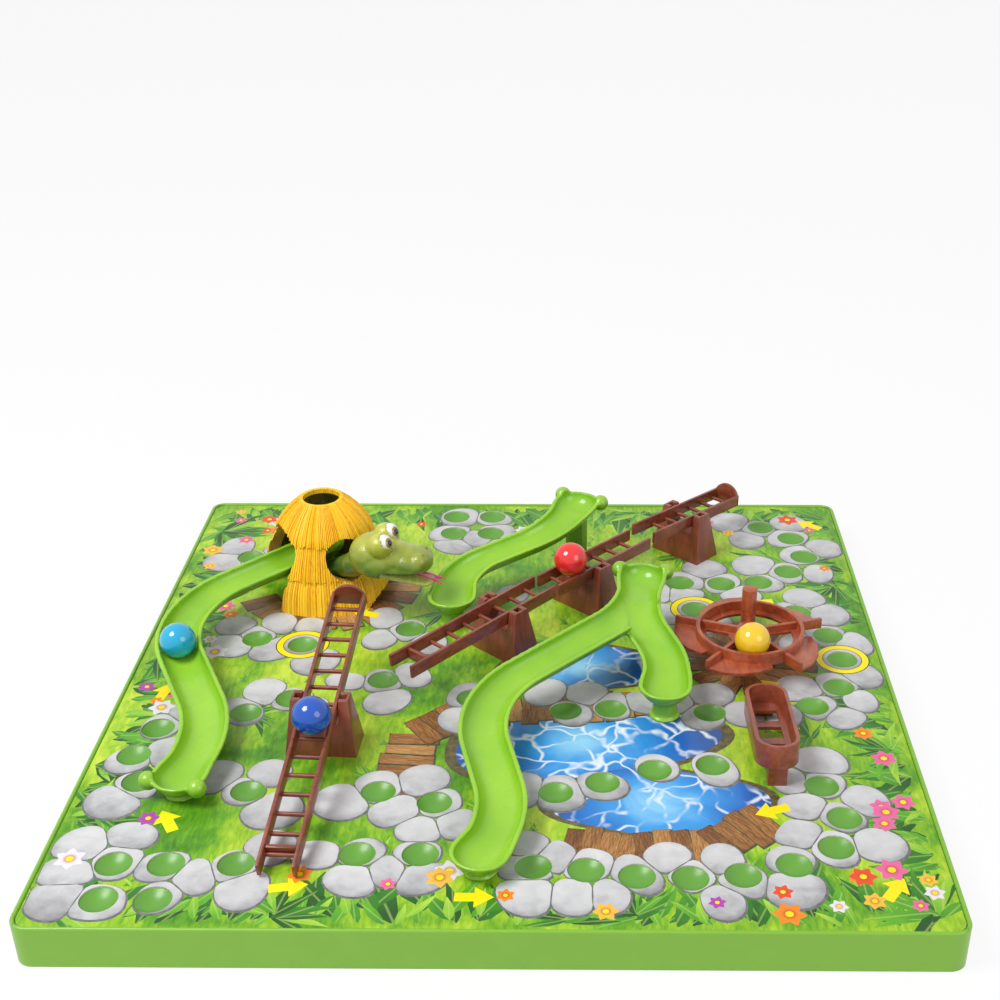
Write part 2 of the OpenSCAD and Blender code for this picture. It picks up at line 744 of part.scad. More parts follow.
// Slab post under a chute's high end, from the card up to the seat
module slab_post(at, h, rim) {
    post_h = rim - seat_drop;
    color("olivedrab") {
        translate([at[0], at[1], board_z])
            rotate(h + 90)
                translate([-slab_w / 2, -slab_t / 2, 0])
                    cube([slab_w, slab_t, post_h]);
        translate([at[0], at[1], board_z + post_h - past / 2])
            cylinder(d = spigot_d, h = spigot_h + past / 2);
        peg(at);
    }
}

module slide_left_post() slab_post(LEFT_FROM, LEFT_HEAD, left_head_h);
module slide_rear_post() slab_post(REAR_FROM, REAR_HEAD, rear_head_h);
module slide_fork_post() slab_post(FORK_FROM, FORK_HEAD, fork_head_h);

// Hollow trestle with a saddle for the ladder and open-topped pockets for its axles
module trestle(at, az) {
    h = trestle_top_z - board_z;
    module pyramid(inset, top) {
        intersection() {
            rotate([90, 0, 0])
                linear_extrude(trestle_foot_w, center = true)
                    polygon([[-trestle_foot_l / 2 + inset, 0], [trestle_foot_l / 2 - inset, 0],
                        [trestle_top_l / 2 - inset, top], [-trestle_top_l / 2 + inset, top]]);
            rotate([90, 0, 90])
                linear_extrude(trestle_foot_l, center = true)
                    polygon([[-trestle_foot_w / 2 + inset, 0], [trestle_foot_w / 2 - inset, 0],
                        [trestle_w / 2 - inset, top], [-trestle_w / 2 + inset, top]]);
        }
    }
    saddle_w = ladder_w + 2 * ladder_gap;
    saddle_z = pivot_h - saddle_depth;
    pocket_d = axle_d + 2 * axle_fit;
    pocket_l = ladder_w + 2 * (axle_out + ladder_gap);
    color("sienna")
        translate([at[0], at[1], board_z])
            rotate(az)
                difference() {
                    union() {
                        pyramid(0, h);
                        for (s = [-1, 1])
                            translate([0, s * trestle_peg, -peg_l])
                                cylinder(d = peg_d, h = peg_l + past);
                    }
                    difference() {
                        translate([0, 0, -past / 2])
                            pyramid(trestle_wall, saddle_z - trestle_wall);
                        for (s = [-1, 1])
                            translate([0, s * trestle_peg, -past])
                                cylinder(d = peg_d + 2 * socket_wall, h = h);
                    }
                    translate([-trestle_foot_l / 2, -saddle_w / 2, saddle_z])
                        cube([trestle_foot_l, saddle_w, h]);
                    translate([0, 0, pivot_h])
                        rotate([90, 0, 0])
                            cylinder(d = pocket_d, h = pocket_l, center = true);
                    translate([-pocket_d / 2, -pocket_l / 2, pivot_h])
                        cube([pocket_d, pocket_l, h]);
                }
}

module trestle_front() trestle(FRONT_AT, FRONT_AZ);
module trestle_low() trestle(LOW_AT, CHAIN_AZ);
module trestle_mid() trestle(MID_AT, CHAIN_AZ);
module trestle_top() trestle(TOP_AT, CHAIN_AZ);

// Puts a ladder's own frame, with X up its longer view and the pivot at zero, on its trestle
module on_pivot(at, az, tilt) {
    translate([at[0], at[1], axle_z])
        rotate([0, -tilt, az])
            children();
}

// See-saw ladder: rails, rungs, stub axles, a low plate at its foot and a round stop at its head
module ladder(at, az, tilt, arm_a, arm_b, foot_plate, head_stop) {
    last_a = floor((arm_a - rung_pitch / 2) / rung_pitch);
    last_b = floor((arm_b - rung_pitch / 2) / rung_pitch);
    plate_h = rail_h - 1;
    color("brown")
        on_pivot(at, az, tilt) {
            for (s = [-1, 1])
                translate([-arm_a, s * (ladder_w - rail_t) / 2 - rail_t / 2, -rail_h / 2])
                    cube([arm_a + arm_b, rail_t, rail_h]);
            for (k = [-last_a : last_b])
                translate([k * rung_pitch, 0, -rung_d / 2])
                    rotate([90, 0, 0])
                        cylinder(d = rung_d, h = ladder_w - rail_t, center = true);
            for (s = [-1, 1])
                translate([0, s * (ladder_w - rail_t) / 2, 0])
                    rotate([-90 * s, 0, 0])
                        cylinder(d = axle_d, h = rail_t / 2 + axle_out);
            if (foot_plate)
                translate([-arm_a + end_plate_in, -(ladder_w - rail_t) / 2, -rail_h / 2])
                    cube([stop_t, ladder_w - rail_t, plate_h]);
            if (head_stop)
                intersection() {
                    translate([arm_b - stop_t, 0, 0])
                        rotate([0, 90, 0])
                            cylinder(d = ladder_w, h = stop_t);
                    translate([0, -ladder_w / 2, -rail_h / 2])
                        cube([arm_b, ladder_w, ladder_w]);
                }
        }
}

module ladder_front()
    ladder(FRONT_AT, FRONT_AZ, FRONT_TILT, lay * front_arm_a, lay * front_arm_b, true, true);
module ladder_low() ladder(LOW_AT, CHAIN_AZ, LOW_TILT, lay * low_arm_a, lay * low_arm_b, true, false);
module ladder_mid() ladder(MID_AT, CHAIN_AZ, MID_TILT, lay * mid_arm_a, lay * mid_arm_b, false, false);
module ladder_top() ladder(TOP_AT, CHAIN_AZ, TOP_TILT, lay * top_arm_a, lay * top_arm_b, false, true);

// Base plate with a column and the spindle that the wheel turns on
module mill_base() {
    column_r = hub_r - 1;
    color("sienna")
        translate([MILL_AT[0], MILL_AT[1], 0]) {
            translate([0, 0, board_z]) cylinder(r = mill_base_r, h = mill_base_t);
            translate([0, 0, board_z]) cylinder(r = column_r, h = wheel_z - hub_gap);
            translate([0, 0, board_z]) cylinder(d = spindle_d, h = wheel_z + sail_t + ring_h);
            for (p = MILL_PEGS) peg(p);
        }
}

module mill_wheel() {
    outer_r = ring_r + ring_wall;
    sail_turn = 54;
    sail_root_r = outer_r - ring_wall / 2;
    rib_w = spoke_t + 2;
    sail_end_r = outer_r + 4;
    // Outer edge of a sail: it falls from the tip over the sail's turn, and its end closes straight to the ring
    sail = concat([for (s = [0 : 0.25 : 1])
        let (r = sail_r - (sail_r - sail_end_r) * s * s) r * [cos(s * sail_turn), sin(s * sail_turn)]],
        [for (s = [1 : -0.25 : 0]) sail_root_r * [cos(s * sail_turn), sin(s * sail_turn)]]);
    color("firebrick")
        translate([MILL_AT[0], MILL_AT[1], board_z + wheel_z])
            difference() {
                union() {
                    difference() {
                        cylinder(r = outer_r, h = sail_t);
                        difference() {
                            translate([0, 0, -past]) cylinder(r = bay_out_r, h = sail_t + 2 * past);
                            translate([0, 0, -2 * past]) cylinder(r = bay_in_r, h = sail_t + 4 * past);
                        }
                    }
                    difference() {
                        cylinder(r = outer_r, h = sail_t + ring_h);
                        translate([0, 0, -past]) cylinder(r = ring_r, h = sail_t + ring_h + 2 * past);
                    }
                    cylinder(r = hub_r, h = sail_t + ring_h - 1);
                    for (k = [0 : SPOKES - 1])
                        rotate(SPOKE_FROM + k * 360 / SPOKES) {
                            translate([0, -rib_w / 2, 0]) cube([ring_r + ring_wall / 2, rib_w, sail_t]);
                            translate([0, -spoke_t / 2, 0]) cube([sail_r, spoke_t, sail_t + ring_h - 1.5]);
                            linear_extrude(sail_t) polygon(sail);
                        }
                    rotate(SPOKE_FROM + HANDLE_SPOKE * 360 / SPOKES)
                        translate([HANDLE_AT_R, 0, 0])
                            cylinder(d = handle_d, h = sail_t + handle_h);
                }
                translate([0, 0, -past])
                    cylinder(d = spindle_d + 2 * spindle_fit, h = sail_t + handle_h);
            }
}

module mill_trough() {
    module stadium(w, l) {
        square([w, l - w], center = true);
        for (s = [-1, 1]) translate([0, s * (l - w) / 2]) circle(d = w);
    }
    color("brown") {
        translate([TROUGH_AT[0], TROUGH_AT[1], board_z + trough_rim])
            rotate([-trough_tilt, 0, 0])
                translate([0, 0, -trough_h])
                    difference() {
                        linear_extrude(trough_h) stadium(trough_w, trough_l);
                        translate([0, 0, trough_wall])
                            linear_extrude(trough_h)
                                stadium(trough_w - 2 * trough_wall, trough_l - 2 * trough_wall);
                        for (y = TROUGH_WINDOWS)
                            translate([0, y, 0])
                                cube([trough_window[0], trough_window[1], 3 * trough_h], center = true);
                    }
        for (y = TROUGH_POSTS) {
            post_h = trough_rim - trough_h - y * tan(trough_tilt) + trough_wall / 2;
            translate([TROUGH_AT[0] - trough_post_w / 2, TROUGH_AT[1] + y - trough_post_t / 2, board_z])
                cube([trough_post_w, trough_post_t, post_h]);
            peg(TROUGH_AT + [0, y]);
        }
    }
}

module ball(p, c) {
    color(c) translate(p) sphere(ball_r);
}

// The cyan ball lies in the left chute's bend, a small gap above its floor
module ball_cyan() {
    bend_share = 1 - CYAN_BACK / LEFT_ROUTE[1][1];
    along = part_length(LEFT_ROUTE[0]) + part_length(LEFT_ROUTE[1]) * bend_share;
    state = on_route(LEFT_ROUTE, LEFT_FROM, LEFT_HEAD, along);
    fall = (left_head_h - low_end_h) * along / route_length(LEFT_ROUTE);
    floor_z = board_z + left_head_h - fall - chute_depth;
    ball([state[0][0], state[0][1], floor_z + ball_r + cyan_gap], "deepskyblue");
}

module ball_blue()
    on_pivot(FRONT_AT, FRONT_AZ, FRONT_TILT) ball([BLUE_ALONG, 0, rail_h / 2 + ball_ride], "royalblue");
module ball_red()
    on_pivot(MID_AT, CHAIN_AZ, MID_TILT) ball([RED_ALONG, 0, rail_h / 2 + ball_ride], "red");

// The yellow ball sits over a bay window, between the window's inner and outer edges
module ball_yellow() {
    bay_mid = (bay_in_r + bay_out_r) / 2;
    bay_half = (bay_out_r - bay_in_r) / 2;
    a = SPOKE_FROM + (YELLOW_BAY + 0.5) * 360 / SPOKES;
    z = wheel_floor_z + sqrt(pow(ball_r, 2) - pow(bay_half, 2)) + 0.3;
    ball([MILL_AT[0] + bay_mid * cos(a), MILL_AT[1] + bay_mid * sin(a), z], "yellow");
}

tray();
printed_sheet();
hut_shell();
snake_head();
snake_jaw();
snake_eyes();
snake_tongue();
slide_left();
slide_left_post();
slide_rear();
slide_rear_post();
slide_fork();
slide_fork_post();
trestle_front();
trestle_low();
trestle_mid();
trestle_top();
ladder_front();
ladder_low();
ladder_mid();
ladder_top();
mill_base();
mill_wheel();
mill_trough();
ball_cyan();
ball_blue();
ball_red();
ball_yellow();
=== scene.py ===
import json
import math
import random
from contextlib import contextmanager

import bmesh
import bpy
from mathutils import Matrix, Vector
from mathutils.geometry import delaunay_2d_cdt


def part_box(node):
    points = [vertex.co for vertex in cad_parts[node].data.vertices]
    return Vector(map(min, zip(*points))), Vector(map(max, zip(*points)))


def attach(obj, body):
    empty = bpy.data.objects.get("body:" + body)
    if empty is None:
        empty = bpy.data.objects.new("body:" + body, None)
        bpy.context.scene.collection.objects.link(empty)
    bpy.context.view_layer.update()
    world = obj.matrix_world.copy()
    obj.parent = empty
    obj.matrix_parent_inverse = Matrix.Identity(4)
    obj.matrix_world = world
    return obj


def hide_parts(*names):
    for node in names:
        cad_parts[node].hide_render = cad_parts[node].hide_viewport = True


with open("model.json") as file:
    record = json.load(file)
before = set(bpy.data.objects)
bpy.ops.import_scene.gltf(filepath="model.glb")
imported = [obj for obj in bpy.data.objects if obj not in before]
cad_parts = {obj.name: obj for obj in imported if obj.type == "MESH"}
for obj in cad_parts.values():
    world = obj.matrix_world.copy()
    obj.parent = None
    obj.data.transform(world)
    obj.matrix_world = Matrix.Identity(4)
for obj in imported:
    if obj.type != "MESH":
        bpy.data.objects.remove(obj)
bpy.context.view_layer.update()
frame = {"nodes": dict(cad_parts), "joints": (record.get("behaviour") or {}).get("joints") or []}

# Studio: a sheet of white paper under the board, two soft boxes and an even white surround.
# The camera stands in front of the board and looks down on it by about thirty degrees.
MM = 0.001
RAYS_SEEN = ("Is Camera Ray", "Is Glossy Ray", "Is Transmission Ray")
scene = bpy.context.scene
scene.view_settings.view_transform = "Standard"


class Wire:
    """One output of a node, with arithmetic that adds Math nodes."""

    def __init__(self, nodes, socket):
        self.nodes = nodes
        self.socket = socket

    def math(self, operation, *values):
        return self.nodes.node("ShaderNodeMath", {"operation": operation}, values)

    def __add__(self, other):
        return self.math("ADD", self, other)

    def __sub__(self, other):
        return self.math("SUBTRACT", self, other)

    def __rsub__(self, other):
        return self.math("SUBTRACT", other, self)

    def __mul__(self, other):
        return self.math("MULTIPLY", self, other)

    def __abs__(self):
        return self.math("ABSOLUTE", self)

    __radd__ = __add__
    __rmul__ = __mul__


class Nodes:
    """A node tree, with one method that adds any node to it."""

    def __init__(self, tree):
        self.tree = tree

    def node(self, kind, settings=None, sockets=(), output=0):
        new = self.tree.nodes.new(kind)
        for key, value in (settings or {}).items():
            if key == "stops":
                while len(new.color_ramp.elements) < len(value):
                    new.color_ramp.elements.new(1.0)
                for element, (place, colour) in zip(new.color_ramp.elements, value):
                    element.position = place
                    element.color = (*colour, 1.0)
            else:
                setattr(new, key, value)
        for key, value in sockets.items() if isinstance(sockets, dict) else enumerate(sockets):
            self.join(value, new.inputs[key])
        return Wire(self, new.outputs[output])

    def join(self, value, socket):
        if isinstance(value, Wire):
            self.tree.links.new(value.socket, socket)
        elif socket.type == "RGBA" and len(value) == 3:
            socket.default_value = (*value, 1.0)
        else:
            socket.default_value = value

    def seen(self):
        """One for rays from the camera, and for those that a gloss or a clear piece sends on."""
        straight, gloss, clear = (self.node("ShaderNodeLightPath", output=ray) for ray in RAYS_SEEN)
        return straight.math("MAXIMUM", straight.math("MAXIMUM", straight, gloss), clear)


class Finish(Nodes):
    """One material: its shader and the nodes that feed it."""

    def __init__(self, name, roughness=0.4, **constants):
        self.material = bpy.data.materials.new(name)
        self.material.use_nodes = True
        super().__init__(self.material.node_tree)
        self.shader = self.tree.nodes["Principled BSDF"]
        self.feed(Roughness=roughness, **constants)

    def feed(self, **sockets):
        for key, value in sockets.items():
            self.join(value, self.shader.inputs[key.replace("_", " ")])

    def colour(self, value, *stops):
        self.feed(Base_Color=self.ramp(value, *stops))

    def bump(self, height, strength, distance):
        self.feed(Normal=self.node("ShaderNodeBump", {}, {
            "Height": height, "Strength": strength, "Distance": distance * MM}))

    def place(self, scale=(1.0, 1.0, 1.0), turn=0.0):
        at = self.node("ShaderNodeTexCoord", output="Object")
        return self.node("ShaderNodeMapping", {}, {
            "Vector": at, "Scale": scale, "Rotation": (0.0, 0.0, turn)})

    def axis(self, at, label):
        return self.node("ShaderNodeSeparateXYZ", {}, [at], output=label)

    def length(self, at):
        return self.node("ShaderNodeVectorMath", {"operation": "LENGTH"}, [at], output="Value")

    def red(self, layer):
        return self.node("ShaderNodeSeparateColor", {}, [
            self.node("ShaderNodeVertexColor", {"layer_name": layer})])

    def noise(self, at, scale, detail=3.0, distortion=0.0):
        return self.node("ShaderNodeTexNoise", {}, {
            "Vector": at, "Scale": scale, "Detail": detail, "Distortion": distortion})

    def cells(self, at, scale):
        return self.node("ShaderNodeTexVoronoi", {"feature": "DISTANCE_TO_EDGE"}, {
            "Vector": at, "Scale": scale})

    def blend(self, share, first, second):
        return self.node("ShaderNodeMix", {"data_type": "RGBA"}, {0: share, 6: first, 7: second}, output=2)

    def ramp(self, value, *stops):
        return self.node("ShaderNodeValToRGB", {"stops": stops}, [value])

    def step(self, value, low, high):
        return self.node("ShaderNodeMapRange", {"interpolation_type": "SMOOTHSTEP"}, {
            "Value": value, "From Min": low, "From Max": high})


camera = bpy.data.objects.new("camera", bpy.data.cameras.new("camera"))
scene.collection.objects.link(camera)
scene.camera = camera
camera.location = (0.0360, -0.6536, 0.4376)
camera.rotation_euler = (math.radians(60.40), 0.0, math.radians(0.44))
camera.data.sensor_width = 36.0
camera.data.lens = 52.64
camera.data.shift_x = -0.0681
camera.data.shift_y = 0.0952


def soft_box(name, place, width, power, aim=(0.0, 0.0, 0.03)):
    lamp = bpy.data.objects.new(name, bpy.data.lights.new(name, "AREA"))
    lamp.data.shape = "DISK"
    lamp.data.size = width
    lamp.data.energy = power
    lamp.location = place
    lamp.rotation_euler = (Vector(aim) - Vector(place)).to_track_quat("-Z", "Y").to_euler()
    scene.collection.objects.link(lamp)


soft_box("key_light", (-0.75, -0.35, 1.25), width=0.7, power=17.0)
soft_box("fill_light", (1.1, -1.0, 0.9), width=1.0, power=7.0)

SURROUND_LEVEL = 0.42
surround = bpy.data.worlds.new("surround")
surround.use_nodes = True
scene.world = surround
sky = Nodes(surround.node_tree)
sky_light = sky.tree.nodes["Background"].inputs
sky.join((1.0, 1.0, 1.0), sky_light["Color"])
sky.join(sky.node("ShaderNodeMapRange", {}, {"Value": sky.seen(), "To Min": SURROUND_LEVEL}),
         sky_light["Strength"])

PAPER_GLOW = 0.9
paper = Finish("white_paper", 0.9, Specular_IOR_Level=0.0)
paper.colour(paper.noise(paper.place(), 90.0), (0.3, (0.86, 0.86, 0.86)), (0.7, (0.9, 0.9, 0.9)))
paper_mix = paper.node("ShaderNodeMixShader", {}, {
    0: paper.seen() * PAPER_GLOW, 1: Wire(paper, paper.shader.outputs[0]),
    2: paper.node("ShaderNodeEmission", {}, {"Color": (1.0, 1.0, 1.0), "Strength": 1.0})})
paper.join(paper_mix, paper.tree.nodes["Material Output"].inputs["Surface"])


def placed(name, mesh, *finishes):
    """An object of a mesh, or of an empty one, with its finishes."""
    mesh = mesh or bpy.data.meshes.new(name)
    for finish in finishes:
        mesh.materials.append(finish.material)
    obj = bpy.data.objects.new(name, mesh)
    scene.collection.objects.link(obj)
    return obj


def shape(name, points, faces, *finishes):
    """A mesh object from points in millimetres."""
    obj = placed(name, None, *finishes)
    obj.data.from_pydata([Vector(p) * MM for p in points], [], faces)
    return obj


FLOOR, FLOOR_Z = 3000, -0.3
floor = shape("floor", [(-FLOOR, -FLOOR, FLOOR_Z), (FLOOR, -FLOOR, FLOOR_Z), (FLOOR, FLOOR, FLOOR_Z),
                        (-FLOOR, FLOOR, FLOOR_Z)], [(0, 1, 2, 3)], paper)


# Tray: one shallow injection moulding in leaf-green plastic, open underneath, with a half-round rim.
# Its deck carries the dished cups and the sockets that every standing piece is pegged into.
def plastic(name, colour, rough=0.3, grain=0.04, spread=0.12, **constants):
    """Moulded plastic: a faintly uneven colour, a fine satin grain and slow changes of gloss."""
    finish = Finish(name, rough, **constants)
    at = finish.place()
    slow = finish.noise(at, 45.0)
    fine = finish.noise(at, 2600.0, 2.0)
    deep = tuple(c * (1.0 - spread) for c in colour)
    pale = tuple(min(1.0, c * (1.0 + spread)) for c in colour)
    finish.colour(slow, (0.3, deep), (0.7, pale))
    finish.feed(Roughness=rough - 0.06 + slow * 0.12)
    finish.bump(fine + slow * 2.0, grain, 0.2)
    return finish


# The plastic is one colour. The darker green inside the rim, over the deck and the cups, is painted shade of
# the recessed cups.
TRAY_SIDE, TRAY_CUP_SHADE = (0.215, 0.465, 0.036), (0.115, 0.315, 0.035)
RIM_START, RIM_END = 0.1972, 0.1978
tray_plastic = plastic("tray_plastic", TRAY_SIDE, 0.34, 0.04, 0.03)
tray_out = [abs(tray_plastic.axis(tray_plastic.place(), label)) for label in "XY"]
tray_far = tray_out[0].math("MAXIMUM", *tray_out)
tray_tint = tray_plastic.noise(tray_plastic.place(), 60.0)
tray_plastic.feed(Base_Color=tray_plastic.blend(
    tray_plastic.step(tray_far, RIM_START, RIM_END),
    tray_plastic.ramp(tray_tint, (0.3, TRAY_CUP_SHADE), (0.7, tuple(c * 1.12 for c in TRAY_CUP_SHADE))),
    tray_plastic.ramp(tray_tint, (0.3, tuple(c * 0.96 for c in TRAY_SIDE)), (0.7, TRAY_SIDE))))
tray = frame["nodes"]["tray"]
tray.data.materials.clear()
tray.data.materials.append(tray_plastic.material)

# Printed card: a stiff card with a satin varnish, punched for the cups and the pegs, laid on the deck.
# Its picture is a garden path: flat stones round the cups, a pond, a plank walk, leaves and flowers.
CARD_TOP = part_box("printed_sheet")[1].z / MM
CARD_T = (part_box("printed_sheet")[1].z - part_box("printed_sheet")[0].z) / MM
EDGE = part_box("printed_sheet")[1].x / MM


def flat_outlines(node, level):
    """Closed outlines of a CAD node's flat top, in millimetres."""
    work = bmesh.new()
    work.from_mesh(frame["nodes"][node].data)
    bmesh.ops.remove_doubles(work, verts=work.verts, dist=0.001 * MM)
    work.verts.index_update()
    flat = [f for f in work.faces if all(abs(v.co.z / MM - level) < 0.01 for v in f.verts)]
    inside = set(flat)
    follow = {}
    for face in flat:
        for loop in face.loops:
            if sum(f in inside for f in loop.edge.link_faces) == 1:
                follow[loop.vert.index] = loop.link_loop_next.vert.index
    work.verts.ensure_lookup_table()
    outlines = []
    while follow:
        start, at = follow.popitem()
        ring = [start]
        while at != start:
            ring.append(at)
            at = follow.pop(at)
        outlines.append([Vector((work.verts[i].co.x / MM, work.verts[i].co.y / MM)) for i in ring])
    work.free()
    return outlines


card_outlines = flat_outlines("printed_sheet", CARD_TOP)
card_outlines.sort(key=lambda ring: (max(p.x for p in ring) - min(p.x for p in ring), len(ring)))
card_edge_line = card_outlines.pop()
punched = [(sum(ring, Vector((0, 0))) / len(ring), ring) for ring in card_outlines]
CUP_HOLE_MIN = 6.0
cups = [c for c, ring in punched if (ring[0] - c).length > CUP_HOLE_MIN]
cups.sort(key=lambda c: (round(c.y), round(c.x)))

MEADOW, SHADE, STONE, WATER, PLANK, LEAF, PETAL, SIGN, HOLE = range(9)
prints = []
draw = random.Random(11)


def motif(kind, outline, centre, size, turn=0.0, tone=None):
    """Adds one printed shape on top of those before it, with its outline run anticlockwise."""
    twice_area = sum(a.cross(b) for a, b in zip(outline, outline[1:] + outline[:1]))
    outline = outline if twice_area > 0 else outline[::-1]
    prints.append((kind, outline, Vector(centre), size, turn, draw.random() if tone is None else tone))


def toward(angle):
    return Vector((math.cos(angle), math.sin(angle)))


def round_outline(centre, r, steps, shake=0.0):
    """A ring of points, each moved in or out by up to a share of the radius."""
    return [Vector(centre) + r * (1.0 + shake * draw.uniform(-1.0, 1.0)) * toward(2 * math.pi * i / steps)
            for i in range(steps)]


def wavy_outline(centre, rx, ry, waves, steps=64):
    points = []
    for i in range(steps):
        a = 2 * math.pi * i / steps
        far = 1.0 + sum(depth * math.sin(count * a + start) for count, depth, start in waves)
        points.append(Vector(centre) + Vector((rx * far * math.cos(a), ry * far * math.sin(a))))
    return points


def leaf_outline(root, length, width, turn, bend=0.0, fine=True):
    """A pointed leaf from its root, with its middle line bent to one side."""
    along = (0.0, 0.16, 0.42, 0.74, 1.0) if fine else (0.0, 0.4, 1.0)
    half = (0.1, 0.72, 1.0, 0.54, 0.0) if fine else (0.7, 1.0, 0.0)
    left = [(t * length, w * width / 2 + bend * length * t * t) for t, w in zip(along, half)]
    right = [(t * length, -w * width / 2 + bend * length * t * t) for t, w in zip(along, half)][-2::-1]
    spin = Matrix.Rotation(turn, 2)
    return [Vector(root) + spin @ Vector(p) for p in left + right]


def add_leaf(root, length, width, turn, bend=0.0, tone=None, fine=True):
    middle = Vector(root) + Matrix.Rotation(turn, 2) @ Vector((length / 2, bend * length / 4))
    motif(LEAF, leaf_outline(root, length, width, turn, bend, fine), middle, length / 2, turn, tone)


def inside_card(p, margin):
    return abs(p[0]) < EDGE - margin and abs(p[1]) < EDGE - margin


motif(MEADOW, card_edge_line, (0, 0), EDGE, tone=0.5)

# Blades of grass in tufts all over the meadow
TUFTS, TUFT_BLADES, BLADE_W = 130, 5, 1.5
PLANTED = EDGE - 14
for i in range(TUFTS):
    foot = Vector((draw.uniform(-1, 1), draw.uniform(-1, 1))) * PLANTED
    for k in range(TUFT_BLADES):
        off = k - TUFT_BLADES // 2
        lean = math.radians(90 + off * 17 + draw.uniform(-6, 6))
        add_leaf(foot + Vector((off * 0.9, 0)), draw.uniform(5, 10), BLADE_W, lean,
                 draw.uniform(-0.3, 0.3), draw.uniform(0.35, 1.0), False)

# Leaves that lean in from the card's edges, in rows from dark to bright: depth, count, length and tone.
# Fans of long leaves between them: place and size.
LEAF_ROWS = ((15, 120, 36, 0.1), (13, 130, 32, 0.32), (11, 130, 27, 0.56), (9, 110, 20, 0.8))
FANS = ((-186, -186, 34), (-92, -190, 30), (60, -190, 26), (186, -188, 36), (188, -70, 26), (187, 92, 28),
        (-188, 10, 28), (-187, 160, 34), (76, 188, 24), (-120, 186, 26), (-186, -120, 26), (30, -192, 24),
        (-60, -96, 20), (-130, -40, 22), (-40, 60, 24), (150, -60, 22), (100, 130, 22), (-20, 150, 22),
        (60, 90, 20), (-160, 40, 20), (150, 130, 24), (20, 30, 20))
FAN_LEAVES = 11
for margin, count, length, tone in LEAF_ROWS:
    for i in range(count):
        run = (i + draw.uniform(0.0, 0.9)) / count * 4
        side, share = int(run), run % 1.0
        foot = Vector(((share * 2 - 1) * PLANTED, -EDGE + draw.uniform(2, margin)))
        reach = length * draw.uniform(0.55, 1.0)
        lean = side * math.pi / 2 + math.radians(90 + draw.uniform(-48, 48))
        add_leaf(Matrix.Rotation(side * math.pi / 2, 2) @ foot, reach, reach * draw.uniform(0.22, 0.36),
                 lean, draw.uniform(-0.25, 0.25), tone + draw.uniform(-0.08, 0.16))
for x, y, size in FANS:
    for k in range(FAN_LEAVES):
        lean = math.atan2(-y, -x) + math.radians((k - FAN_LEAVES // 2) * 19 + draw.uniform(-6, 6))
        reach = size * draw.uniform(0.7, 1.0)
        add_leaf((x + draw.uniform(-2, 2), y + draw.uniform(-2, 2)), reach, reach * 0.2, lean,
                 draw.uniform(-0.3, 0.3), draw.choice((0.12, 0.35, 0.6, 0.85)))

# Pond with a darker bank, in three bays: middle, half width, half depth and the waves of its edge
BAYS = (((38, -62), 62, 34, ((2, 0.1, 0.4), (3, 0.07, 1.9), (5, 0.03, 0.2))),
        ((74, -112), 47, 27, ((2, 0.08, 2.0), (4, 0.05, 0.7))),
        ((38, 4), 40, 24, ((2, 0.09, 1.2), (3, 0.06, 2.6))))
for grow, kind in ((1.09, SHADE), (1.0, WATER)):
    for centre, rx, ry, waves in BAYS:
        bank = wavy_outline(centre, rx * grow, ry * grow, waves)
        motif(kind, bank, centre, rx * grow, tone=0.25 if kind == SHADE else 0.5)

# Plank walks on the pond's banks and over its middle, and boards laid round the hut and the mill
WALK_W, BOARD_W = 23, 8.4
boards = []
for walk in (((-46, -118), (-48, -92), (-44, -58), (-22, -40), (8, -36), (40, -34), (72, -30), (104, -24)),
             ((30, -142), (62, -147), (96, -143), (124, -124))):
    for a, b in zip(walk, walk[1:]):
        a, b = Vector(a), Vector(b)
        pieces = max(1, round((b - a).length / BOARD_W))
        boards += [(a.lerp(b, (i + 0.5) / pieces), b - a, (b - a).length / pieces) for i in range(pieces)]
for centre, r, pieces, first, sweep in (((-110, 95), 42, 12, 205, 190), ((127.5, 13.5), 25, 14, 0, 360)):
    for i in range(pieces):
        a = math.radians(first + sweep * (i + 0.5) / pieces)
        out = toward(a)
        boards.append((Vector(centre) + r * out, Vector((-out.y, out.x)), r * math.radians(sweep) / pieces))
for mid, way, length in boards:
    turn = math.atan2(way.y, way.x) + math.radians(draw.uniform(-5, 5))
    spin = Matrix.Rotation(turn, 2)
    half_l, half_w = length / 2 + 0.4, WALK_W / 2 + draw.uniform(-1.5, 2.5)
    corners = [(-half_l, -half_w), (half_l, -half_w + 0.6), (half_l - 0.3, half_w), (-half_l, half_w - 0.5)]
    shadow = [mid + spin @ Vector(c) * 1.03 + Vector((0.5, -0.7)) for c in corners]
    motif(SHADE, shadow, mid, half_w, turn, 0.0)
    motif(PLANK, [mid + spin @ Vector((c[0] * 0.93, c[1])) for c in corners], mid, half_w, turn)

# Flat stones under and between the cups: each ends half way to its neighbours, less a gap
STONE_STEPS, STONE_GAP, STONE_ROOM, STONE_NEAR = 26, 0.5, 14.0, 36
STONES_TRIED = 5
seeds = [cup + Vector((draw.uniform(-3.5, 3.5), draw.uniform(-3.5, 3.5))) for cup in cups]
for cup in cups:
    for i in range(STONES_TRIED):
        a = draw.uniform(0, 2 * math.pi)
        spot = cup + draw.uniform(14.0, 20.0) * toward(a)
        clear = min((spot - seed).length for seed in seeds) > STONE_ROOM
        dry = all(((spot.x - x) / rx) ** 2 + ((spot.y - y) / ry) ** 2 > 1.0 for (x, y), rx, ry, _ in BAYS)
        if inside_card(spot, 9) and clear and dry:
            seeds.append(spot)
stones = []
ways = [toward(2 * math.pi * i / STONE_STEPS) for i in range(STONE_STEPS)]
stone_end = EDGE - 1.2
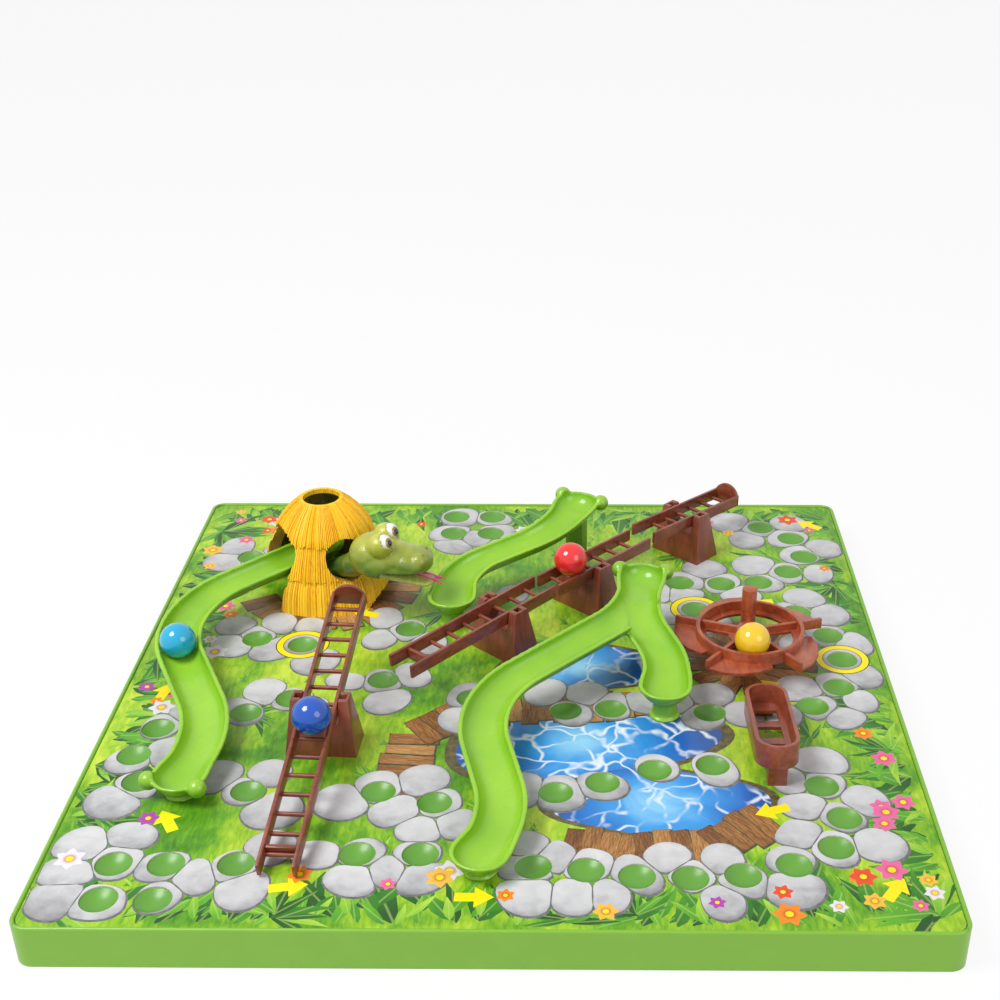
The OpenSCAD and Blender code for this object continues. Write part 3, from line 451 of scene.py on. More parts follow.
for seed in seeds:
    near = [other - seed for other in seeds if 0 < (other - seed).length < STONE_NEAR]
    reach = draw.uniform(11.5, 15.5)
    skew = (draw.uniform(0.0, 0.16), draw.uniform(0, 2 * math.pi))
    far = []
    for i, way in enumerate(ways):
        oval = reach * (1.0 - skew[0] * (1.0 + math.sin(4 * math.pi * i / STONE_STEPS + skew[1])))
        halves = [d.length_squared / 2 / d.dot(way) for d in near if d.dot(way) > 0.01]
        far.append(min(halves + [oval]) - STONE_GAP)
    far = [(far[i - 1] + 2 * far[i] + far[(i + 1) % STONE_STEPS]) / 4 for i in range(STONE_STEPS)]
    outline = [seed + f * way for f, way in zip(far, ways)]
    stones.append((seed, reach, [Vector((min(max(x, -stone_end), stone_end) for x in p)) for p in outline]))
for seed, reach, outline in stones:
    shadow = [p + (p - seed) * (0.9 / reach) + Vector((0.3, -0.7)) for p in outline]
    motif(SHADE, shadow, seed, reach, 0.0, 0.6)
for seed, reach, outline in stones:
    motif(STONE, outline, seed, reach)

# Yellow rings round three cups and yellow arrows along the path
RINGED = ((178, 13), (103, 66), (-114, 26))
for spot in RINGED:
    for r, kind, tone in ((14.6, SHADE, 0.0), (14.0, SIGN, 0.6), (10.6, SHADE, 0.0), (10.2, STONE, 0.5)):
        motif(kind, round_outline(spot, r, 32), spot, r, 0.0, tone)
ARROW = ((-8, -2.7), (0.5, -2.7), (0.5, -6.5), (9, 0), (0.5, 6.5), (0.5, 2.7), (-8, 2.7))
for x, y, heading in ((-88, -172, 10), (-8, -178, 0), (172, -172, 55), (126, -118, 200), (0, -84, 190),
                      (-150, -128, 120), (-178, -22, 80), (-88, -48, 35), (4, -8, -20), (134, -14, 25),
                      (140, 74, 190), (-84, 60, 160), (-176, 82, 90), (182, 172, 140)):
    spin = Matrix.Rotation(math.radians(heading), 2)
    motif(SIGN, [Vector((x, y)) + spin @ Vector(p) for p in ARROW], (x, y), 9, math.radians(heading), 0.6)

# Flowers: six petals and a round heart, all in the borders and clear of the cups
FLOWERS, FLOWER_ROOM, PETALS = 90, 17, 6
for i in range(FLOWERS):
    side = draw.randrange(4)
    spot = Vector((draw.uniform(-0.92, 0.92) * EDGE, -EDGE + draw.uniform(9, 40)))
    spot = Matrix.Rotation(side * math.pi / 2, 2) @ spot
    if min((spot - c).length for c in cups) < FLOWER_ROOM:
        continue
    r, tone = draw.uniform(3.0, 6.4), draw.choice((0.05, 0.2, 0.38, 0.55, 0.72, 0.9))
    for k in range(PETALS):
        a = k * 2 * math.pi / PETALS + i
        root = spot + r * 0.22 * toward(a)
        motif(PETAL, leaf_outline(root, r, r * 0.85, a), spot, r * 1.2, 0.0, tone)
    motif(SIGN, round_outline(spot, r * 0.3, 10), spot, r * 0.3, 0.0, 0.3)

for centre, ring in punched:
    motif(HOLE, ring, centre, 1.0)

points, lines = [], []
for _, outline, *_ in prints:
    first, count = len(points), len(outline)
    lines += [(first + i, first + (i + 1) % count) for i in range(count)]
    points += outline
net_points, _, net_faces, *_ = delaunay_2d_cdt(points, lines, [], 0, 0.002, False)

# Each triangle of the net belongs to the topmost printed shape over its middle
CELL = 10.0
bins = {}
for n, (_, outline, *_) in enumerate(prints):
    low_x, high_x = (math.floor(end(p.x for p in outline) / CELL) for end in (min, max))
    low_y, high_y = (math.floor(end(p.y for p in outline) / CELL) for end in (min, max))
    for i in range(low_x, high_x + 1):
        for j in range(low_y, high_y + 1):
            bins.setdefault((i, j), []).append(n)


def holds(outline, x, y):
    inside, last = False, outline[-1]
    for p in outline:
        if (p.y > y) != (last.y > y) and x < (last.x - p.x) * (y - p.y) / (last.y - p.y) + p.x:
            inside = not inside
        last = p
    return inside


def topmost(face):
    x, y = (sum(net_points[i][axis] for i in face) / len(face) for axis in (0, 1))
    if not inside_card((x, y), 12) and not holds(card_edge_line, x, y):
        return None
    near = bins.get((math.floor(x / CELL), math.floor(y / CELL)), ())
    return next((n for n in reversed(near) if holds(prints[n][1], x, y)), None)


kept = [(face, owner) for face, owner in ((face, topmost(face)) for face in net_faces)
        if owner is not None and prints[owner][0] != HOLE]


def printed(name, roughness=0.4):
    """Ink on varnished card: the paper's faint tooth shows in the gloss."""
    finish = Finish(name, roughness, Coat_Weight=0.04, Coat_Roughness=0.25, Specular_IOR_Level=0.3)
    finish.bump(finish.noise(finish.place(), 1500.0, 2.0), 0.05, 0.1)
    finish.local = finish.node("ShaderNodeUVMap", {"uv_map": "motif"})
    finish.tone = finish.red("tone")
    finish.far = finish.length(finish.local)
    return finish


meadow = printed("print_meadow")
meadow_patch = meadow.noise(meadow.place(), 24.0, 4.0, 0.6)
meadow_blade = meadow.noise(meadow.place((1.0, 0.28, 1.0)), 520.0, 3.0, 0.4)
meadow.colour(meadow_patch * 0.75 + meadow_blade * 0.3,
              (0.30, (0.035, 0.16, 0.008)), (0.44, (0.11, 0.33, 0.012)),
              (0.56, (0.30, 0.53, 0.02)), (0.70, (0.58, 0.74, 0.06)))

shade = printed("print_shade")
shade_speck = shade.noise(shade.place(), 300.0)
shade_dark, shade_bank, shade_grey = (
    shade.ramp(shade_speck, (0.3, low), (0.7, high)) for low, high in (
        ((0.022, 0.035, 0.014), (0.07, 0.09, 0.04)), ((0.05, 0.06, 0.02), (0.20, 0.15, 0.06)),
        ((0.10, 0.11, 0.10), (0.21, 0.21, 0.20))))
shade_wet = shade.blend(shade.step(shade.tone, 0.12, 0.2), shade_dark, shade_bank)
shade.feed(Base_Color=shade.blend(shade.step(shade.tone, 0.4, 0.5), shade_wet, shade_grey))

stone = printed("print_stone", 0.45)
stone_light = stone.noise(stone.place(), 130.0, 5.0, 0.3) * 0.34 + stone.axis(stone.local, "Y") * 0.1
stone_light = stone_light - stone.step(stone.far, 0.62, 1.0) * 0.1 + stone.tone * 0.1 + 0.13
stone.colour(stone_light, (0.08, (0.20, 0.20, 0.21)), (0.22, (0.38, 0.38, 0.39)),
             (0.34, (0.56, 0.56, 0.57)), (0.50, (0.70, 0.70, 0.70)))

water = printed("print_water", 0.25)
water_at = water.place()
water_warp = water.noise(water_at, 26.0, 3.0, 1.5)
water_swirl = water.node("ShaderNodeTexNoise", {}, {"Vector": water_at, "Scale": 40.0}, output="Color")
water_swirl = water.node("ShaderNodeVectorMath", {"operation": "SCALE"}, {0: water_swirl, "Scale": 0.03})
water_bent = water.node("ShaderNodeVectorMath", {"operation": "ADD"}, [water_at, water_swirl])
water_net = water.cells(water_bent, 62.0)
water_depth = water.ramp(water.far * 0.6 + water_warp * 0.5,
                         (0.25, (0.30, 0.66, 0.90)), (0.5, (0.045, 0.33, 0.76)),
                         (0.75, (0.012, 0.13, 0.50)), (0.95, (0.03, 0.09, 0.30)))
water_line = (1.0 - water.step(water_net, 0.0, 0.09)) * water.step(water_warp, 0.42, 0.62)
water.feed(Base_Color=water.blend(water_line * 0.85, water_depth, (0.88, 0.95, 1.0)))

plank = printed("print_plank")
plank_grain = plank.noise(plank.node("ShaderNodeVectorMath", {"operation": "MULTIPLY"}, [
    plank.local, (6.0, 0.7, 1.0)]), 3.0, 4.0, 0.8)
plank.colour(plank_grain * 0.75 + plank.tone * 0.3 - plank.step(plank.far, 0.9, 1.1) * 0.2,
             (0.25, (0.07, 0.025, 0.008)), (0.45, (0.22, 0.09, 0.025)),
             (0.6, (0.42, 0.20, 0.06)), (0.8, (0.62, 0.36, 0.13)))

leaf = printed("print_leaf")
leaf_vein = 1.0 - leaf.step(abs(leaf.axis(leaf.local, "Y")), 0.01, 0.05)
leaf_hue = leaf.tone * 0.8 + leaf.axis(leaf.local, "X") * 0.12 + leaf.noise(leaf.place(), 160.0) * 0.2 - 0.08
leaf_green = leaf.ramp(leaf_hue, (0.05, (0.012, 0.08, 0.008)), (0.3, (0.035, 0.20, 0.014)),
                       (0.55, (0.12, 0.40, 0.02)), (0.85, (0.42, 0.66, 0.05)))
leaf.feed(Base_Color=leaf.blend(leaf_vein * 0.35, leaf_green, (0.55, 0.72, 0.2)))

petal = printed("print_petal")
petal_hue = petal.ramp(petal.tone, (0.0, (0.75, 0.03, 0.03)), (0.18, (0.88, 0.22, 0.02)),
                       (0.36, (0.90, 0.55, 0.03)), (0.54, (0.80, 0.10, 0.32)),
                       (0.7, (0.86, 0.82, 0.86)), (0.9, (0.42, 0.06, 0.45)))
petal.feed(Base_Color=petal.blend(petal.step(petal.far, 0.1, 0.55), (0.45, 0.08, 0.02), petal_hue))

sign = printed("print_sign")
sign.colour(sign.noise(sign.place(), 60.0) * 0.4 + sign.tone * 0.5,
            (0.2, (0.92, 0.62, 0.01)), (0.42, (0.98, 0.78, 0.005)), (0.7, (1.0, 0.86, 0.02)))

board_edge = Finish("card_edge", 0.8)
board_edge.colour(board_edge.noise(board_edge.place(), 700.0),
                  (0.3, (0.55, 0.52, 0.44)), (0.7, (0.72, 0.69, 0.60)))

used = sorted({corner for face, _ in kept for corner in face})
card_points = [net_points[corner] for corner in used]
number_of = {corner: n for n, corner in enumerate(used)}
card = bpy.data.meshes.new("garden_card")
card.from_pydata([(p.x * MM, p.y * MM, CARD_TOP * MM) for p in card_points], [],
                 [[number_of[corner] for corner in face] for face, _ in kept])
card.uv_layers.new(name="motif")
card.color_attributes.new("tone", "FLOAT_COLOR", "CORNER")
motif_map, tone_map = card.uv_layers["motif"], card.color_attributes["tone"]
for polygon, (_, owner) in zip(card.polygons, kept):
    kind, _, centre, size, turn, tone = prints[owner]
    polygon.material_index = kind
    spin = Matrix.Rotation(-turn, 2)
    for corner in polygon.loop_indices:
        at = card_points[card.loops[corner].vertex_index]
        motif_map.data[corner].uv = spin @ (Vector(at) - centre) / size
        tone_map.data[corner].color = (tone, tone, tone, 1.0)
garden_card = placed("garden_card", card, meadow, shade, stone, water, plank, leaf, petal, sign, board_edge)


def settle(obj):
    """Turns an object's modifiers into plain mesh."""
    graph = bpy.context.evaluated_depsgraph_get()
    made = bpy.data.meshes.new_from_object(obj.evaluated_get(graph))
    obj.modifiers.clear()
    obj.data = made
    return obj


thickness = garden_card.modifiers.new("card", "SOLIDIFY")
thickness.thickness = CARD_T * MM
thickness.offset = -1.0
thickness.material_offset = HOLE
thickness.material_offset_rim = HOLE
settle(garden_card)


def fit(obj, body, slot, *nodes):
    """Puts a finished piece on its body in place of its CAD nodes."""
    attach(obj, body)
    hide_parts(*nodes)
    return obj


fit(garden_card, "board", "printed_card", "printed_sheet")

# Hut: one hollow moulding in straw yellow, in three tiers of thatch with ragged lower edges.
# An arch lets the chute out, a low arch opens one side, and it is pegged to the deck inside.
HUT_X, HUT_Y = -110.0, 95.0
HUT_R, HUT_H = 40.0, 56.0
STRAWS, STRAW_PARTS = 150, 4
# Darkening of the straws in the creases between thatch bundles: painted shade.
CREASE_SHADE = 0.55
hut_draw = random.Random(23)


def thatch_finish(name, dark, mid, pale):
    finish = Finish(name, 0.5)
    streak = finish.noise(finish.place((1.0, 1.0, 0.1)), 900.0, 3.0, 0.3)
    patch = finish.noise(finish.place(), 70.0)
    finish.colour(streak * 0.45 + patch * 0.25 + finish.red("straw") * 0.42,
                  (0.28, dark), (0.5, mid), (0.8, pale))
    finish.feed(Roughness=0.42 + streak * 0.2)
    finish.bump(streak, 0.35, 0.35)
    return finish


thatch = thatch_finish("thatch_straw", (0.74, 0.35, 0.006), (1.0, 0.57, 0.008), (1.0, 0.68, 0.03))
# The inside of the hollow hut gets a dark brown copy of the straw finish: painted shade, the moulding is
# straw yellow throughout.
thatch_inside_shade = thatch_finish("thatch_inside_shade", (0.10, 0.06, 0.02), (0.20, 0.12, 0.04), (0.32, 0.20, 0.07))
thatch_cut = thatch_finish("thatch_cut", (0.52, 0.26, 0.03), (0.80, 0.50, 0.10), (0.92, 0.70, 0.25))

# Outer line of each tier, as radius and height above the card, from its eaves up
TIERS = (((40.0, 0.0), (38.6, 8.0), (36.6, 14.0), (32.4, 20.5)),
         ((34.6, 18.6), (33.6, 22.5), (30.0, 30.0), (25.2, 38.6)),
         ((27.2, 37.0), (26.4, 39.6), (24.4, 43.0), (21.8, 46.6), (17.6, 51.2), (13.6, 54.6), (12.4, 56.0),
          (10.4, 56.0)))
INNER = ((10.4, 53.4), (15.0, 49.8), (19.0, 43.6), (21.6, 37.0), (29.0, 19.0), (37.4, 0.0))
COLUMNS = STRAWS * STRAW_PARTS
straw_lift = [[hut_draw.uniform(-0.5, 0.55) for _ in range(STRAWS)] for _ in TIERS]
straw_drop = [[hut_draw.uniform(-1.5, 1.1) for _ in range(STRAWS)] for _ in TIERS]
straw_tone = [[hut_draw.random() for _ in range(STRAWS)] for _ in TIERS]


def thatch_column(k):
    """One upright section of the hut: outer tiers from the top down, then the inside from foot to top."""
    straw, part = divmod(k, STRAW_PARTS)
    round_top = (0.0, 0.85, 1.0, 0.85)[part]
    turn = 2 * math.pi * (k + 0.3 * math.sin(k * 1.7)) / COLUMNS
    rows = []
    for tier in (2, 1, 0):
        line = TIERS[tier]
        shift = STRAWS // 3 * tier
        lift = straw_lift[tier][(straw + shift) % STRAWS]
        drop = straw_drop[tier][(straw + shift) % STRAWS] if tier else 0.0
        upper = list(reversed(line))
        for i, (r, z) in enumerate(upper):
            rim = tier == 2 and i < 2
            foot = i == len(upper) - 1
            bulge = 0.0 if rim else (0.75 * round_top - 0.35 + lift * (0.4 if i < 2 else 1.0))
            rows.append((min(r + bulge, HUT_R), z + (drop if foot and tier else 0.0), 0))
        if tier:
            r, z = line[0]
            rows.append((r - 2.0, z + 1.0 + drop, 0))
    rows += [(r, z, 1) for r, z in reversed(INNER)]
    return turn, rows


hut_points, hut_faces, hut_inside = [], [], []
for k in range(COLUMNS):
    turn, rows = thatch_column(k)
    for r, z, _ in rows:
        hut_points.append((HUT_X + r * math.cos(turn), HUT_Y + r * math.sin(turn), CARD_TOP + min(z, HUT_H)))
row_count = len(rows)
first_inner = next(i for i, row in enumerate(rows) if row[2])
for k in range(COLUMNS):
    for i in range(row_count):
        here, beside, below = k * row_count, (k + 1) % COLUMNS * row_count, (i + 1) % row_count
        hut_faces.append((here + i, here + below, beside + below, beside + i))
        hut_inside.append(first_inner <= i < row_count - 1)
hut = shape("thatched_hut", hut_points, hut_faces, thatch, thatch_inside_shade, thatch_cut)
TOP_ROWS = len(TIERS[2]) + 1
UPPER_ROWS = TOP_ROWS + len(TIERS[1]) + 1
straw_tone_shade_map = hut.data.color_attributes.new("straw", "FLOAT_COLOR", "CORNER")
# Inner faces take the dark copy of the straw finish, as painted shade inside the hut.
for polygon, inside in zip(hut.data.polygons, hut_inside):
    polygon.material_index = int(inside)
    column, row = divmod(polygon.index, row_count)
    tier = 2 if row < TOP_ROWS else 1 if row < UPPER_ROWS else 0
    tone = straw_tone[tier][(column // STRAW_PARTS + STRAWS // 3 * tier) % STRAWS]
    # The straws at both edges of each bundle are darkened: painted shade in the creases between bundles, on
    # top of each straw's own random tone.
    groove = CREASE_SHADE if column % STRAW_PARTS in (0, STRAW_PARTS - 1) else 1.0
    for corner in polygon.loop_indices:
        straw_tone_shade_map.data[corner].color = (tone * groove,) * 3 + (1.0,)


def cut(obj, tool, operation="DIFFERENCE", solver="MANIFOLD"):
    """Cuts one object with another, which is then thrown away."""
    chop = obj.modifiers.new("cut", "BOOLEAN")
    chop.operation = operation
    chop.solver = solver
    chop.object = tool
    settle(obj)
    bpy.data.objects.remove(tool)
    return obj


@contextmanager
def reworked(mesh):
    """Opens a mesh for editing and writes it back."""
    work = bmesh.new()
    work.from_mesh(mesh)
    yield work
    work.to_mesh(mesh)
    work.free()


def outward(obj):
    """Turns an object's faces outwards."""
    with reworked(obj.data) as work:
        bmesh.ops.recalc_face_normals(work, faces=work.faces)
    return obj


def bar(name, rows, finish):
    """A closed bar between two outlines of like points, given one after the other."""
    n = len(rows) // 2
    sides = [(i, (i + 1) % n, n + (i + 1) % n, n + i) for i in range(n)]
    return shape(name, rows, sides + [tuple(range(n - 1, -1, -1)), tuple(range(n, 2 * n))], finish)


def prism(name, outline, length, spin, origin, finish):
    """A bar of a given outline, drawn across its length, turned and moved into place."""
    rows = [spin @ Vector((along, *p)) + Vector(origin) for along in (0.0, length) for p in outline]
    return outward(bar(name, rows, finish))


def arc(r, steps, sweep, rise=0.0):
    angles = [sweep * i / steps for i in range(steps + 1)]
    return [(r * math.cos(a), rise + r * math.sin(a)) for a in angles]


def arch_line(half, top):
    return [(half, -3.0)] + arc(half, 20, math.pi, top - half) + [(-half, -3.0)]


def circle_line(r, rise, steps=40):
    return arc(r, steps, 2 * math.pi, rise)[:-1]


def soft_shade(obj, angle):
    """Shades an object smooth, apart from edges sharper than an angle."""
    for polygon in obj.data.polygons:
        polygon.use_smooth = True
    obj.data.set_sharp_from_angle(angle=math.radians(angle))


for label, outline, heading in (("chute_arch", arch_line(18.0, 43.0), 210.0),
                                ("side_arch", circle_line(48.0, -38.0, 120), 0.0),
                                ("neck_hole", circle_line(11.5, 29.0), -58.0)):
    cut(hut, prism(label, outline, 60.0, Matrix.Rotation(math.radians(heading), 3, "Z"),
                   (HUT_X, HUT_Y, CARD_TOP), thatch_cut))
soft_shade(hut, 38)
fit(hut, "board", "thatch_yellow", "hut_shell")

# Snake: a hollow moulded head on a neck that comes out of the hut, glossy olive green.
# The jaw, the eyes and the tongue are mouldings of their own, pressed into the head.
HEAD = Vector((-77.0, 58.0, 59.5))
HEAD_SPIN = Matrix.Rotation(math.radians(-8.0), 3, "Z")
HEAD_SCALE = 13.4 / 12.0
EYE_R = 5.1
EYES = [Vector((7.4, side * 6.24, 9.0)) for side in (1, -1)]


def in_head(p):
    return HEAD + HEAD_SPIN @ (Vector(p) * HEAD_SCALE)


def head_ball(p, radii):
    return in_head(p), tuple(r * HEAD_SCALE for r in radii)


def lumps(name, balls, voxel, rounds, *finishes):
    """One smooth body from overlapping balls, each a place and three radii, in millimetres."""
    obj = placed(name, None, *finishes)
    with reworked(obj.data) as work:
        for place, radii in balls:
            move = Matrix.Translation(place) @ HEAD_SPIN.to_4x4() @ Matrix.Diagonal((*radii, 1.0))
            bmesh.ops.create_uvsphere(work, u_segments=28, v_segments=18, radius=1.0, matrix=move)
    obj.data.transform(Matrix.Scale(MM, 4))
    return smooth_body(obj, voxel, rounds)


def smooth_body(obj, voxel, rounds):
    remesh = obj.modifiers.new("body", "REMESH")
    remesh.mode = "VOXEL"
    remesh.voxel_size = voxel * MM
    remesh.use_smooth_shade = True
    if rounds:
        soft = obj.modifiers.new("soft", "SMOOTH")
        soft.factor = 0.5
        soft.iterations = rounds
    return settle(obj)


def line_of(a, b, ra, rb, count):
    a, b = Vector(a), Vector(b)
    return [(a.lerp(b, i / count), (ra + (rb - ra) * i / count,) * 3) for i in range(count + 1)]


snake_skin = Finish("snake_skin", 0.3, Coat_Weight=0.3, Coat_Roughness=0.15)
skin_at = snake_skin.place()
skin_scale = snake_skin.cells(skin_at, 420.0)
painted_top_light = snake_skin.axis(skin_at, "Z")
# Colour runs with height, from dark olive low on the neck and head to pale yellow-green on top: painted
# light on the top, painted shade below.
snake_skin.colour((painted_top_light - 0.048) * 32.0 + snake_skin.noise(skin_at, 110.0) * 0.5 - 0.2,
                  (0.05, (0.045, 0.11, 0.015)), (0.35, (0.15, 0.24, 0.022)),
                  (0.65, (0.36, 0.39, 0.03)), (0.95, (0.56, 0.56, 0.07)))
snake_skin.bump(snake_skin.step(skin_scale, 0.0, 0.14), 0.22, 0.25)

neck_line = line_of((-99.5, 76.0, 24.0), (-99.5, 76.0, 41.0), 5.5, 5.8, 5)
neck_line += line_of((-99.5, 76.0, 41.0), (-89.5, 63.5, 49.5), 5.8, 7.0, 6)
neck_line += line_of((-89.5, 63.5, 49.5), in_head((-2, 0, -2)), 7.0, 9.0, 5)
head_balls = neck_line + [
    head_ball((0, 0, -0.5), (12.0, 12.0, 11.0)), head_ball((8, 0, -1.0), (14.0, 11.2, 8.2)),
    head_ball((17, 0, -2.2), (11.0, 10.8, 7.0)), head_ball((22, 0, -2.6), (8.2, 10.2, 6.6))]
for side in (1, -1):
    head_balls += [
        head_ball((3, side * 7.2, -3.0), (8.4, 6.0, 6.6)),
        head_ball((5.6, side * 6.2, 7.6), (6.6, 6.0, 6.2)),
        head_ball((24.0, side * 4.8, -1.0), (4.8, 4.2, 4.8)),
        head_ball((14, side * 8.2, -4.6), (10.0, 3.0, 3.2))]
snake_head = lumps("snake_head_skin", head_balls, 0.55, 4, snake_skin)
MOUTH = (3.0, -5.04)
lip = [(-20.0, 0.0), (20.0, 0.0), (20.0, -30.0), (-20.0, -30.0)]
cut(snake_head, prism("mouth_cut", lip, 50.0, HEAD_SPIN, in_head((MOUTH[0] + 2.0, 0, MOUTH[1])), snake_skin))
for eye in EYES:
    socket = lumps("socket", [(in_head(eye), (EYE_R + 0.15,) * 3)], 0.5, 0, snake_skin)
    cut(snake_head, socket)
for side in (1, -1):
    nostril = lumps("nostril", [(in_head((27.4, side * 4.0, 2.4)), (1.9, 1.3, 1.1))], 0.25, 0, snake_skin)
    cut(snake_head, nostril)
smooth_body(snake_head, 0.5, 3)
fit(snake_head, "board", "snake_green", "snake_head")

belly = Finish("snake_belly", 0.34, Coat_Weight=0.2)
belly_band = belly.noise(belly.place((1.0, 0.2, 0.2)), 260.0, 2.0)
belly.colour(belly_band, (0.3, (0.30, 0.36, 0.05)), (0.55, (0.48, 0.50, 0.10)), (0.8, (0.62, 0.62, 0.18)))
belly.bump(belly_band, 0.25, 0.4)
JAW_STEPS, JAW_OPEN, JAW_L = 8, 13.0, 24.0
jaw_balls = []
for i in range(JAW_STEPS + 1):
    reach = i / JAW_STEPS
    drop = math.tan(math.radians(JAW_OPEN)) * JAW_L * reach
    jaw_balls.append(head_ball((4.5 + 21.0 * reach, 0, MOUTH[1] - 2.6 - drop * 0.85),
                               (6.0, 9.4 - 2.2 * reach, 2.9 - 0.7 * reach)))
snake_jaw = lumps("snake_jaw_skin", jaw_balls, 0.5, 4, belly)
fit(snake_jaw, "board", "snake_belly", "snake_jaw")

eye_white = Finish("eye_gloss", 0.12, Coat_Weight=0.6)
eye_far = eye_white.length(eye_white.node("ShaderNodeUVMap", {"uv_map": "look"}))
eye_iris = eye_white.blend(eye_white.step(eye_far, 0.20, 0.23), (0.008, 0.008, 0.01), (0.30, 0.22, 0.02))
eye_cloud = eye_white.ramp(eye_white.noise(eye_white.place(), 300.0),
                           (0.3, (0.80, 0.80, 0.77)), (0.7, (0.90, 0.90, 0.88)))
eye_white.feed(Base_Color=eye_white.blend(eye_white.step(eye_far, 0.36, 0.40), eye_iris, eye_cloud))
EYE_AIM = HEAD_SPIN @ Vector((0.86, -0.34, 0.36)).normalized()
eyes = placed("snake_eye_pair", None, eye_white)
with reworked(eyes.data) as work:
    for eye in EYES:
        bmesh.ops.create_uvsphere(work, u_segments=32, v_segments=20, radius=EYE_R,
                                  matrix=Matrix.Translation(in_head(eye)))
    look_map = work.loops.layers.uv.new("look")
    for face in work.faces:
        face.smooth = True
        for loop in face.loops:
            middle = min((in_head(eye) for eye in EYES), key=lambda m: (m - loop.vert.co).length)
            off = (loop.vert.co - middle).normalized()
            loop[look_map].uv = (off.angle(EYE_AIM) / math.pi * 2, 0.0)
eyes.data.transform(Matrix.Scale(MM, 4))
fit(eyes, "board", "eye_white", "snake_eyes")

tongue_skin = plastic("tongue_plastic", (0.75, 0.03, 0.20), 0.28)
TONGUE_ROWS, TONGUE_COLUMNS, FORK_START = 18, 5, 0.88
tongue_points, tongue_faces = [], []
for i in range(TONGUE_ROWS + 1):
    reach = i / TONGUE_ROWS
    x, z = 10.0 + 25.6 * reach, MOUTH[1] - 0.6 - 5.0 * reach - 1.9 * reach * reach
    for j in range(TONGUE_COLUMNS):
        off = j - TONGUE_COLUMNS // 2
        fork = 9.0 * max(0.0, reach - FORK_START) * ((off > 0) - (off < 0))
        tongue_points.append(in_head((x, off * 1.3 + fork, z - 0.22 * (2 - abs(off)))))
for i in range(TONGUE_ROWS):
    for j in range(TONGUE_COLUMNS - 1):
        if not (i >= TONGUE_ROWS - 2 and j in (1, 2)):
            a = i * TONGUE_COLUMNS + j
            b = a + TONGUE_COLUMNS
            tongue_faces.append((a, b, b + 1, a + 1))
tongue = shape("snake_tongue_strip", tongue_points, tongue_faces, tongue_skin)
tongue_wall = tongue.modifiers.new("wall", "SOLIDIFY")
tongue_wall.thickness = 0.9 * MM
tongue_round = tongue.modifiers.new("round", "SUBSURF")
tongue_round.levels = tongue_round.render_levels = 2
settle(tongue)
fit(tongue, "board", "tongue_pink", "snake_tongue")

# Chutes: half-round mouldings in lime plastic with a rolled lip, spoon-shaped at both ends.
# Each stands on a slab post at its head and on a round foot at its low end, both pegged to the deck.
CHUTE_HALF, CHUTE_DEPTH, CHUTE_WALL = 9.8, 8.0, 1.5
SPOON_R, SPOON_DEPTH = 11.3, 8.4
SWELL_RUN, HOLLOW_TOP = 15.0, 7.0
LIP, LIP_DROP = 0.8, 1.4
FOOT_R, KNOB_R = 6.5, 4.6
RUN_STEP, END_STEPS, BOWL_STEPS = 3, 7, 18


def part_length(size, turn):
    return size if turn == 0 else size * math.radians(abs(turn))


def run_length(parts):
    return sum(part_length(*part) for part in parts)


def on_run(start, heading, parts, s):
    """Place and heading at a distance along straights (length, 0) and bends (radius, turn)."""
    at, h = Vector(start), heading
    for n, (size, turn) in enumerate(parts):
        length = part_length(size, turn)
        step = s if n == len(parts) - 1 or s < length else length
        if turn == 0 or s < 0:
            at += step * toward(math.radians(h))
        else:
            sign = 1 if turn > 0 else -1
            done = math.degrees(step / size) * sign
            at += sign * size * (toward(math.radians(h + 90)) - toward(math.radians(h + done + 90)))
            h += done
        s -= step
        if s <= 0:
            break
    return at, h


def chute_body(name, start, heading, parts, rim, grow, hollow, spoon_head=True):
    """A closed half-round bar along a run; a hollow one also reaches above the lip."""
    length = run_length(parts)
    r = SPOON_R + grow
    ends = [math.sin(math.pi / 2 * i / END_STEPS) for i in range(1, END_STEPS + 1)]
    steps = round(length / RUN_STEP)
    marks = [i * length / steps for i in range(steps + 1)]
    marks = ([-r * e for e in reversed(ends)] if spoon_head else []) + marks + [length + r * e for e in ends]
    bowl = [math.pi + math.pi * i / BOWL_STEPS for i in range(BOWL_STEPS + 1)]
    rows, count = [], 0
    for s in marks:
        at, h = on_run(start, heading, parts, s)
        over = max(-s if spoon_head else 0.0, s - length, 0.0) / r
        near = min(s if spoon_head else length, length - s)
        swell = max(0.0, 1.0 - max(near, 0.0) / SWELL_RUN)
        swell = swell * swell * (3 - 2 * swell)
        close = math.sqrt(max(1.0 - over * over, 0.0004))
        half = (CHUTE_HALF + grow + (SPOON_R - CHUTE_HALF) * swell) * close
        deep = (CHUTE_DEPTH + grow + (SPOON_DEPTH - CHUTE_DEPTH) * swell) * close
        share = min(max(s / length, 0.0), 1.0)
        top = CARD_TOP + rim[0] + (rim[1] - rim[0]) * share
        section = [(half * math.cos(t), deep * math.sin(t)) for t in bowl]
        if hollow:
            section += [(half * 1.06, HOLLOW_TOP), (-half * 1.06, HOLLOW_TOP)]
        else:
            out = half + LIP
            section = [(-out, 0.0), (-out, -LIP_DROP)] + section[2:-2] + [(out, -LIP_DROP), (out, 0.0)]
        left = toward(math.radians(h + 90))
        rows += [(at.x + left.x * x, at.y + left.y * x, top + z) for x, z in section]
        count = len(section)
    faces = []
    for i in range(len(marks) - 1):
        for k in range(count):
            a, b = i * count + k, i * count + (k + 1) % count
            faces.append((b, a, a + count, b + count))
    faces += [tuple(range(count)), tuple(range(len(rows) - 1, len(rows) - count - 1, -1))]
    return outward(shape(name, rows, faces, chute_plastic))


